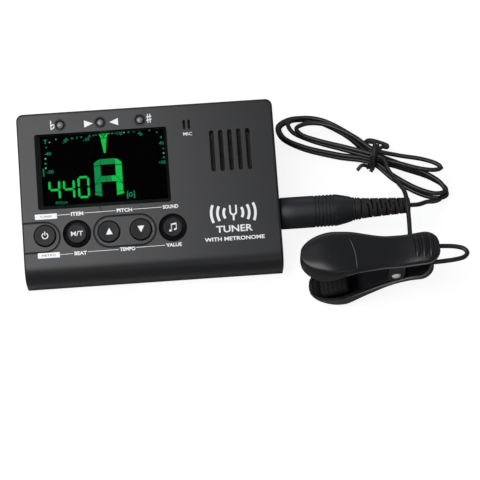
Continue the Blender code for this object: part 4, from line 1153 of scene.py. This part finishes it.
def plug_handle():
    """A moulded handle: plain barrel, fine grooves, a shoulder and three small end rings."""
    profile = [(0, HANDLE_START), (6.5, HANDLE_START), (6.85, HANDLE_START + 0.12),
               (7, HANDLE_START + 0.45), (7.02, 63), (7, 70.4)]
    for x in GROOVES:
        r = handle_radius(x)
        profile += [(r, x - 0.42), (r - 0.12, x - 0.3), (r - 0.34, x - 0.12), (r - 0.34, x + 0.12),
                    (r - 0.12, x + 0.3), (r, x + 0.42)]
    profile += [(handle_radius(x), x) for x in (80.8, 81.6, 82.4, 83.4, 84.6, 85.8, 87)]
    for x in END_RINGS:
        r = handle_radius(x)
        profile += [(r, x - 0.35), (r - 0.3, x - 0.2), (r - 0.3, x + 0.2), (r, x + 0.35)]
    profile += [(4.85, 91.4), (4.7, 91.85), (4.5, HANDLE_END), (0, HANDLE_END)]
    piece("handle_barrel", lathe(profile, 96), "handle", "lead", PLUG, ("plug_handle",))


def sector(bm, inner, outer, middle, spread, low, high):
    """A cutter that opens a slot over part of the way round."""
    start, end = middle - spread / 2, middle + spread / 2
    outline = arc((0, 0), outer, start, end, 14) + arc((0, 0), inner, end, start, 14)
    prism(bm, outline, low, high)


def relief_radius(x):
    return RELIEF_RADIUS - RELIEF_TAPER * (x - RELIEF_START) / (RELIEF_END - RELIEF_START)


def strain_relief():
    """A tapering rubber sleeve with half slots that alternate from side to side."""
    start, end = RELIEF_START, RELIEF_END
    profile = [(0, start), (RELIEF_RADIUS - 0.2, start), (RELIEF_RADIUS, start + 0.2),
               (RELIEF_RADIUS, start + 1.6)]
    profile += [(relief_radius(start + 2), start + 2), (relief_radius(end - 2.6), end - 2.6),
                (3.5, end - 2.1), (3.5, end - 0.5), (3.3, end - 0.15), (3.0, end), (0, end)]
    sleeve = piece("relief_sleeve", lathe(profile, 64), "relief", "lead", PLUG,
                   ("strain_relief",))
    slots = bmesh.new()
    for number in range(RELIEF_SLOTS):
        low = start + 2.2 + SLOT_PITCH * number
        turn = SIGHT_ANGLE + (35 if number % 2 == 0 else -55)
        for half in (0, 180):
            sector(slots, 2.15, 6, turn + half, SLOT_SPREAD, low, low + SLOT_WIDTH)
    for vert in slots.verts:
        vert.co.z -= SLOT_SLANT * vert.co.y
    carve(sleeve, slots, PLUG)
    soften = sleeve.modifiers.new("soft_edges", "BEVEL")
    soften.width = 0.12 * MM
    soften.segments = 2
    soften.limit_method = "ANGLE"
    soften.angle_limit = math.radians(50)


plug_handle()
strain_relief()


# ----------------------------------------------------------------------- the clip

HEAD_REACH = 40.9
NOSE_LENGTH = 15
TAIL_ROUND = 6.2
SHELL_THICK = 1.5
SQUARENESS = 0.38
PIN_RADIUS = 2.0
PIN_REACH = 7.8
PIN_DOME = 0.65
BORE_REACH = 12
ALONG_PIN = Matrix.Rotation(math.radians(-90), 4, "X")
UPPER_PAD_LIFT = 3.2
PAD_MIDDLE, PAD_HALF = -29, 6
RIM_START = -22
SEAM_RADIUS = 0.2
COIL_TURNS, COIL_HALF, WIRE_RADIUS = 4, 1.9, 0.3
RIDGES, RIDGE_START, RIDGE_PITCH = 3, 9.3, 2.9
RIDGE_BOW, RIDGE_HALF, RIDGE_RADIUS = 0.7, 5.7, 1.12
# Faces of the lower half that turn outwards more than this take a lighter colour: a painted sheen
# where its sides catch light.
SIDE_FACING = 0.45

# Each half of the clip by its distance from the pin along X: half its width, the height of
# its back over the pin's axis, and that of its rim.
UPPER_HALF = {
    "width": ((-26, 10.6), (-18, 9.8), (-12, 8.7), (-5, 7.6), (2, 7.4), (18.5, 7.5)),
    "crown": ((-40.9, 11.2), (-32, 13.2), (-24, 13.1), (-12, 11.3), (-4, 10.5), (4, 10.7),
              (12, 12.2), (18.5, 12.9)),
    "rim": ((-40.9, 5.2), (-33, 4.3), (-24.5, 7.2), (-18, 9.2), (-9, 8.5), (0, 7.7), (8, 8.7),
            (18.5, 10.4)),
    "side": 1, "ear_radius": 3.5, "ear_faces": (5.85, 7.5), "ear_root": 9.2, "bead": 0.42}
LOWER_HALF = {
    "width": ((-26, 10), (-12, 8.2), (-5, 7.3), (2, 7.2), (14, 7.2)),
    "crown": ((-40.9, 3.8), (-28, 9.6), (-16, 8.6), (-5, 8), (2, 8.6), (9.2, 10.8), (14, 12)),
    "rim": ((-40.9, 2.2), (-30, 2.6), (-12, 3.4), (-5, 4.4), (4, 4.4), (10.8, 6.6), (14, 7.4)),
    "side": -1, "ear_radius": 3.4, "ear_faces": (4, 5.4), "ear_root": 7.8, "bead": 0.5}


def through(knots, x):
    """The height at x of a smooth curve through (x, height) points."""
    i = min(len(knots) - 2, max(0, sum(knot[0] <= x for knot in knots) - 1))
    (x0, y0), (x1, y1) = knots[i], knots[i + 1]
    before, after = knots[max(0, i - 1)], knots[min(len(knots) - 1, i + 2)]
    first = (y1 - before[1]) / (x1 - before[0]) * (x1 - x0)
    second = (after[1] - y0) / (after[0] - x0) * (x1 - x0)
    t = min(1, max(0, (x - x0) / (x1 - x0)))
    rest = 1 - t
    return (y0 * (1 + 2 * t) * rest * rest + first * t * rest * rest
            + y1 * (1 + 2 * rest) * t * t - second * rest * t * t)


def quarter(share):
    """How far a quarter ellipse has opened at a share of its length."""
    return math.sqrt(max(0, 1 - (1 - min(1, share)) ** 2))


def tail_of(shape):
    return shape["width"][-1][0]


def clip_half_width(x, shape):
    """Half the shell's width: an elliptic nose, a waist at the pin and a rounded tail."""
    half = through(shape["width"], x)
    nose = HEAD_REACH + x
    if nose < NOSE_LENGTH:
        return 1 + (half - 1) * quarter(nose / NOSE_LENGTH)
    return half - TAIL_ROUND * (1 - quarter((tail_of(shape) - x) / TAIL_ROUND))


def clip_stations(shape, inset):
    """Places along a shell, closer together at its ends."""
    low, high = -HEAD_REACH + inset, tail_of(shape) - inset
    count = 72
    shares = [(1 - math.cos(math.pi * i / count)) / 2 for i in range(count + 1)]
    return [low + (high - low) * (share + i / count) / 2 for i, share in enumerate(shares)]


def clip_form(shape, inset=0):
    """One half of the clip as a solid, or the hollow inside it when it has an inset."""
    steps = 15
    shares = [i / steps for i in range(-steps, steps + 1)]
    across = [math.copysign(math.pi / 2 * t * t * (3 - 2 * abs(t)), t) for t in shares]
    bm = bmesh.new()
    rings = []
    for x in clip_stations(shape, inset):
        half = max(0.4, clip_half_width(x, shape) - inset)
        rim = through(shape["rim"], x)
        rise = max(0.3, through(shape["crown"], x) - inset - rim)
        foot = rim - 4 * inset
        section = [(-half, foot)] if inset else []
        for angle in across:
            y = half * math.copysign(abs(math.sin(angle)) ** SQUARENESS, angle)
            section.append((y, rim + rise * abs(math.cos(angle)) ** SQUARENESS))
        section += [(half, foot)] if inset else []
        rings.append([(x, y, z * shape["side"]) for y, z in section])
    return loft(bm, rings)


def clip_skin(x, y, shape):
    """The height of a shell's outer skin at a place on its back."""
    rim = through(shape["rim"], x)
    share = min(0.999, abs(y) / clip_half_width(x, shape)) ** (1 / SQUARENESS)
    fall = math.sqrt(1 - share * share) ** SQUARENESS
    return rim + (through(shape["crown"], x) - rim) * fall


def thumb_ridges(shape):
    """Bowed ridges across the tail."""
    bm = bmesh.new()
    for i in range(RIDGES):
        path, radii = [], []
        for step in range(-10, 11):
            t = step / 10
            x = tail_of(shape) - RIDGE_START + RIDGE_PITCH * i - RIDGE_BOW * t * t
            y = RIDGE_HALF * t
            path.append((x, y, shape["side"] * (clip_skin(x, y, shape) - 0.3)))
            radii.append(RIDGE_RADIUS * (1 - abs(t) ** 4) + 0.12)
        tube(bm, path, radii, 16)
    return bm


def rim_bead(shape):
    """A rolled edge along the rim, from behind the head round the tail, in a lighter colour: a
    painted highlight where the rim catches light.
    """
    bm = bmesh.new()
    tail = tail_of(shape)
    steps = 40
    places = [RIM_START + (tail - 0.05 - RIM_START) * math.sin(math.pi / 2 * i / steps)
              for i in range(steps + 1)]
    near, far = [], []
    for x in places:
        half = clip_half_width(x, shape)
        z = shape["side"] * (through(shape["rim"], x) + 0.3)
        near.append((x, -half, z))
        far.append((x, half, z))
    path = near + far[::-1]
    grow = [min(1, 0.15 + i / 12) for i in range(len(near))]
    radii = [shape["bead"] * g for g in grow + grow[::-1]]
    tube(bm, path, radii, 10)
    return bm


def ear_form(bm, inner, outer, shape):
    """An ear beside the pin: its round end is on the pin's axis and its root in the shell."""
    radius = shape["ear_radius"]
    tip = arc((0, 0), radius, 180, 360, 20)
    root = [(radius, shape["ear_root"]), (-radius, shape["ear_root"])]
    outline = [(x, z * shape["side"]) for x, z in tip + root]
    return loft(bm, [[(x, y, z) for x, z in outline] for y in (inner, outer)])


def clip_half(name, node_name, place, body, shape):
    shell = piece(name, clip_form(shape), ("clip", "clip_side_sheen"), body, place, (node_name,))
    carve(shell, thumb_ridges(shape), place, "UNION")
    carve(shell, clip_form(shape, SHELL_THICK), place)
    near, far = shape["ear_faces"]
    for inner, outer in ((near, far), (-far, -near)):
        carve(shell, ear_form(bmesh.new(), inner, outer, shape), place, "UNION")
    carve(shell, drum(PIN_RADIUS + GAP, -BORE_REACH, BORE_REACH, 40), place @ ALONG_PIN)
    # Outward sides of the lower half take the lighter look: painted sheen.
    if shape["side"] < 0:
        for face in shell.data.polygons:
            outward = math.copysign(face.normal.y, face.normal.y * (face.center.y - CLIP_PIN.y))
            far_out = abs(face.center.y - CLIP_PIN.y) > (shape["ear_faces"][1] + 0.8) * MM
            if far_out and outward > SIDE_FACING:
                face.material_index = 1
    even = shell.modifiers.new("even_shading", "WEIGHTED_NORMAL")
    even.keep_sharp = True
    piece(name + "_rim", rim_bead(shape), "clip_edge", body, place)


def head_seam():
    """The fine raised line where the head's cover ends, in a lighter colour: a painted highlight on
    its step.
    """
    path = []
    steps = 24
    for i in range(steps + 1):
        y = 5.6 - 14.6 * i / steps
        x = -17.6 - 0.02 * (y + 4) ** 2 * (y > -4)
        path.append((x, y, clip_skin(x, y, UPPER_HALF)))
    radii = [SEAM_RADIUS * min(1, 0.2 + i / 6, 0.2 + (steps - i) / 4) for i in range(steps + 1)]
    piece("head_seam", tube(bmesh.new(), path, radii, 8), "clip_edge", "lead", CLIP_UPPER)


def clip_pin():
    """A rivet with a domed head at each end."""
    head = dome(PIN_RADIUS, PIN_DOME, PIN_REACH, 9)
    profile = head + [(r, -h) for r, h in reversed(head)]
    piece("clip_rivet", lathe(profile, 40), "pin", "lead", CLIP_UPPER @ ALONG_PIN,
          ("clip_pin",))


def jaw_pad(name, node_name, place, body, side, lift=0.0):
    """A soft pad with cross grooves on its gripping face, which is lifted from the pin's level."""
    rings = []
    outline = round_corners((-PAD_HALF, -PAD_HALF), (PAD_HALF, PAD_HALF), 1.4)
    for height, shrink in ((0.32, 0.35), (0.5, 0.08), (0.8, 0), (3.9, 0), (4.18, 0.15)):
        size = 1 - shrink / PAD_HALF
        rings.append([(x * size + PAD_MIDDLE, y * size, side * (height + lift))
                      for x, y in outline])
    pad = piece(name, loft(bmesh.new(), rings), "pad", body, place, (node_name,))
    grooves = bmesh.new()
    level = side * (0.25 + lift)
    for i in range(-2, 3):
        x = PAD_MIDDLE + 2.2 * i
        tube(grooves, [(x, -8, level), (x, 8, level)], 0.42, 10)
    carve(pad, grooves, place)


def clip_spring():
    """A torsion spring: a leg under each tail and four turns about the pin."""
    radius = PIN_RADIUS + 0.75
    start = math.radians(125)
    end = start - 2 * math.pi * COIL_TURNS + math.radians(150)
    steps = 132
    path = [(12.5, COIL_HALF, 9.8)]
    for i in range(steps + 1):
        t = i / steps
        angle = start + (end - start) * t
        path.append((radius * math.cos(angle), COIL_HALF * (1 - 2 * t),
                     radius * math.sin(angle)))
    path.append((12, -COIL_HALF, -4))
    spring = piece("torsion_spring", tube(bmesh.new(), path, WIRE_RADIUS, 10), "dark_steel", None,
                   CLIP_UPPER, ())
    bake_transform(spring)
    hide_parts("clip_spring")


clip_half("upper_jaw", "clip_upper_shell", CLIP_UPPER, "lead", UPPER_HALF)
clip_half("lower_jaw", "clip_lower_shell", CLIP_LOWER, "clip_lower", LOWER_HALF)
head_seam()
clip_pin()
jaw_pad("upper_pad", "jaw_pad_upper", CLIP_UPPER, "lead", 1, UPPER_PAD_LIFT)
jaw_pad("lower_pad", "jaw_pad_lower", CLIP_LOWER, "clip_lower", -1)
clip_spring()


# ----------------------------------------------------------------------- the lead

CABLE_RADIUS = 1.0
LAYER = 2.5
TIE_AT = (102, 53)
BUNDLE_TURN = math.radians(-22)
LEFT_LOOPS = ((47.4, 8.5, -7.5), (45.8, 7.3, -5), (42.5, 6.0, -8), (37.5, 4.4, -4.5))
RIGHT_LOOPS = ((38.4, 5.4, -11), (37.2, 4.7, -11), (36, 4.0, -11), (31.2, 2.4, 3.4))
LEFT_BOW = 2.4
TIE_SLOT = 1.3
TIE_RADIUS = 0.85
GROUND = 1.3
TIE_LOW = 3.2


def bundle_point(p, q, z):
    """A point of the bundle: p along it from the tie, q across it, z over the ground."""
    x = TIE_AT[0] + p * math.cos(BUNDLE_TURN) - q * math.sin(BUNDLE_TURN)
    y = TIE_AT[1] + p * math.sin(BUNDLE_TURN) + q * math.cos(BUNDLE_TURN)
    return Vector((x, y, z))


def hairpin(side, reach, half, lean, heights):
    """One loop of the bundle, out from the tie and back to it. Heights are those of its way
    out, of its end and of its way back."""
    shape = ((0.34, 0.72), (0.70, 1.0), (0.92, 0.66), (1.0, 0), (0.92, -0.66), (0.70, -1.0),
             (0.34, -0.72))
    turn = math.radians(lean)
    points = []
    for i, (share, spread) in enumerate(shape):
        p = side * share * reach
        q = -side * spread * half
        if side < 0:
            q += LEFT_BOW * 4 * share * (1 - share)
        t = i / (len(shape) - 1) * 2
        first, second = (heights[0], heights[1]) if t <= 1 else (heights[1], heights[2])
        z = first + (second - first) * (t if t <= 1 else t - 1)
        points.append(bundle_point(p * math.cos(turn) - q * math.sin(turn),
                                   p * math.sin(turn) + q * math.cos(turn), z))
    return points


def loop(side, number, layers):
    sizes = RIGHT_LOOPS if side > 0 else LEFT_LOOPS
    return hairpin(side, *sizes[number], [GROUND + LAYER * layer for layer in layers])


def lead_points():
    """The lead's corner points: from the plug to the ground, four turns of the bundle, and
    over the plug into the clip's tail."""
    y, z = plug_middle.y / MM, plug_middle.z / MM
    start = RELIEF_END + GAP
    points = [Vector(p) for p in ((start, y, z), (start + 3.4, y, z),
                                  (start + 8, y + 3.4, z - 4), (start + 12.3, y + 7, z - 10),
                                  (start + 16, y + 11, 2.6))]
    points += loop(1, 0, (0, 0, 0))[4:]
    for turn in range(4):
        points.append(bundle_point(0, TIE_SLOT, TIE_LOW + LAYER * turn))
        points += loop(-1, turn, (turn + 0.15 * turn, turn, turn))
        points.append(bundle_point(0, -TIE_SLOT, TIE_LOW + LAYER * turn))
        if turn == 2:
            points += loop(1, 3, (turn + 1, turn + 1.3, turn + 1.3))
        elif turn < 2:
            points += loop(1, turn + 1, (turn, turn + 0.5, turn + 1))
    points.append(bundle_point(5, -2.8, 11.6))
    points += [Vector(p) for p in ((107, 41, 14), (109.6, 31, 19.4), (111.4, 24.6, 22.8),
                                   (111.9, 20.1, 23.4), (111.9, 12, 22.8), (111.5, 4, 22.4))]
    x, y, z = CLIP_PIN / MM
    tail = ((8, 9.3, 1.8), (9.8, 5.9, 2.4), (15, 4.1, 3.6), (21, 3.7, 4), (26.6, 3, 4.1),
            (30.2, 1.6, 4.1), (31.3, -0.4, 4.1), (29.8, -2.3, 4.1), (26, -3.3, 4.1),
            (21, -3.7, 4), (15, -3.8, 3.6))
    points += [Vector((x + a, y + b, z + c)) for a, b, c in tail]
    return points


def tie_points():
    """A wire tie: a stub end, two turns round the waist of the bundle, a flat ring behind it
    and the other end in front."""
    middle = TIE_LOW + 1.5 * LAYER
    wide = TIE_SLOT + CABLE_RADIUS + 1.5
    tall = 1.5 * LAYER + CABLE_RADIUS + 1.2
    points = [bundle_point(-5.4, -wide - 3.4, 3.6), bundle_point(-3.8, -wide - 1.0, 5)]
    steps = 64
    for i in range(steps + 1):
        angle = math.radians(200 + 650 * i / steps)
        q = wide * math.copysign(abs(math.cos(angle)) ** 0.5, math.cos(angle))
        z = middle + tall * math.copysign(abs(math.sin(angle)) ** 0.5, math.sin(angle))
        points.append(bundle_point(-1.4 + 2.6 * i / steps, q, z))
    ring = ((2.6, 4.9, 9), (4.8, 5.6, 8.5), (4.6, 7, 8), (0.6, 7.6, 8), (-4, 7.4, 8),
            (-5.2, 6, 8.5), (-2.4, 4.6, 11), (-0.6, 2.6, 14.2), (0.6, -1.6, 14),
            (1.2, -4.6, 10), (1.4, -wide - 1.4, 6), (0.8, -wide - 2.6, 4.4))
    points += [bundle_point(*place) for place in ring]
    return points


piece("lead_cable", tube(bmesh.new(), rounded_path(lead_points(), 1.2), CABLE_RADIUS, 16),
      "cable", "lead", WORLD, ("cable",))
piece("wire_tie", tube(bmesh.new(), rounded_path(tie_points(), 0.5), TIE_RADIUS, 12), "tie",
      "lead", WORLD, ("twist_tie",))


# ----------------------------------------------------------- floor, light and camera

AZIMUTH = math.radians(-4.5)
ELEVATION = math.radians(60)
CAMERA_FAR = 0.85
FRAME_ACROSS = 0.2082
SENSOR = 36
# What the camera looks at, in millimetres along the view's right, up and back.
TARGET = (37.1, 18.35, 14)
FLOOR_Z = -0.0002


def studio_floor():
    bm = bmesh.new()
    bmesh.ops.create_grid(bm, x_segments=2, y_segments=2, size=3)
    mesh = bpy.data.meshes.new("floor")
    bm.to_mesh(mesh)
    bm.free()
    floor = add_object("floor", mesh)
    floor.location.z = FLOOR_Z
    look, tree = new_look("pale_floor")
    tree.nodes.clear()
    paint = node(tree, "ShaderNodeBsdfDiffuse", {"Color": (0.25, 0.25, 0.25, 1)})
    seen = node(tree, "ShaderNodeLightPath").outputs["Is Camera Ray"]
    glow = node(tree, "ShaderNodeEmission", {"Strength": arithmetic(tree, "MULTIPLY", seen, 0.86)})
    both = node(tree, "ShaderNodeAddShader", {0: paint.outputs[0], 1: glow.outputs[0]})
    out = node(tree, "ShaderNodeOutputMaterial")
    tree.links.new(both.outputs[0], out.inputs[0])
    floor.data.materials.append(look)


def soft_light(name, at, aim, size, power, colour=(1, 1, 1)):
    light = bpy.data.lights.new(name, "AREA")
    light.shape = "RECTANGLE"
    light.size, light.size_y = size
    light.energy = power
    light.color = colour
    obj = add_object(name, light)
    obj.location = at
    obj.rotation_euler = (Vector(aim) - Vector(at)).to_track_quat("-Z", "Y").to_euler()


def studio():
    studio_floor()
    soft_light("key_softbox", (-0.245, -0.13, 0.45), (-0.235, -0.13, 0), (0.5, 0.5), 3.0)
    soft_light("front_fill", (0.2, -0.8, 0.3), (0.08, -0.01, 0.02), (0.35, 0.2), 0.3)
    soft_light("right_fill", (0.75, 0.25, 0.55), (0.05, 0.03, 0), (0.4, 0.5), 0.3,
               (0.85, 0.87, 1.0))
    soft_light("rear_strip", (0.05, 0.85, 0.35), (0.05, 0.03, 0.02), (0.9, 0.25), 0.8)
    world = bpy.data.worlds.new("studio")
    world.use_nodes = True
    sky = world.node_tree.nodes["Background"]
    sky.inputs[0].default_value = (0.84, 0.88, 1.0, 1)
    sky.inputs[1].default_value = 0.24
    bpy.context.scene.world = world
    bpy.context.scene.view_settings.view_transform = "Standard"


def camera():
    """A long lens at the catalogue view's angle."""
    flat = math.cos(ELEVATION)
    back = Vector((math.sin(AZIMUTH) * flat, -math.cos(AZIMUTH) * flat, math.sin(ELEVATION)))
    right = Vector((math.cos(AZIMUTH), math.sin(AZIMUTH), 0))
    up = back.cross(right)
    target = (right * TARGET[0] + up * TARGET[1] + back * TARGET[2]) * MM
    data = bpy.data.cameras.new("camera")
    data.sensor_width = SENSOR
    data.lens = SENSOR * CAMERA_FAR / FRAME_ACROSS
    data.clip_start, data.clip_end = 0.05, 20
    obj = add_object("camera", data)
    obj.location = target + back * CAMERA_FAR
    obj.rotation_euler = back.to_track_quat("Z", "Y").to_euler()
    bpy.context.scene.camera = obj


studio()
camera()
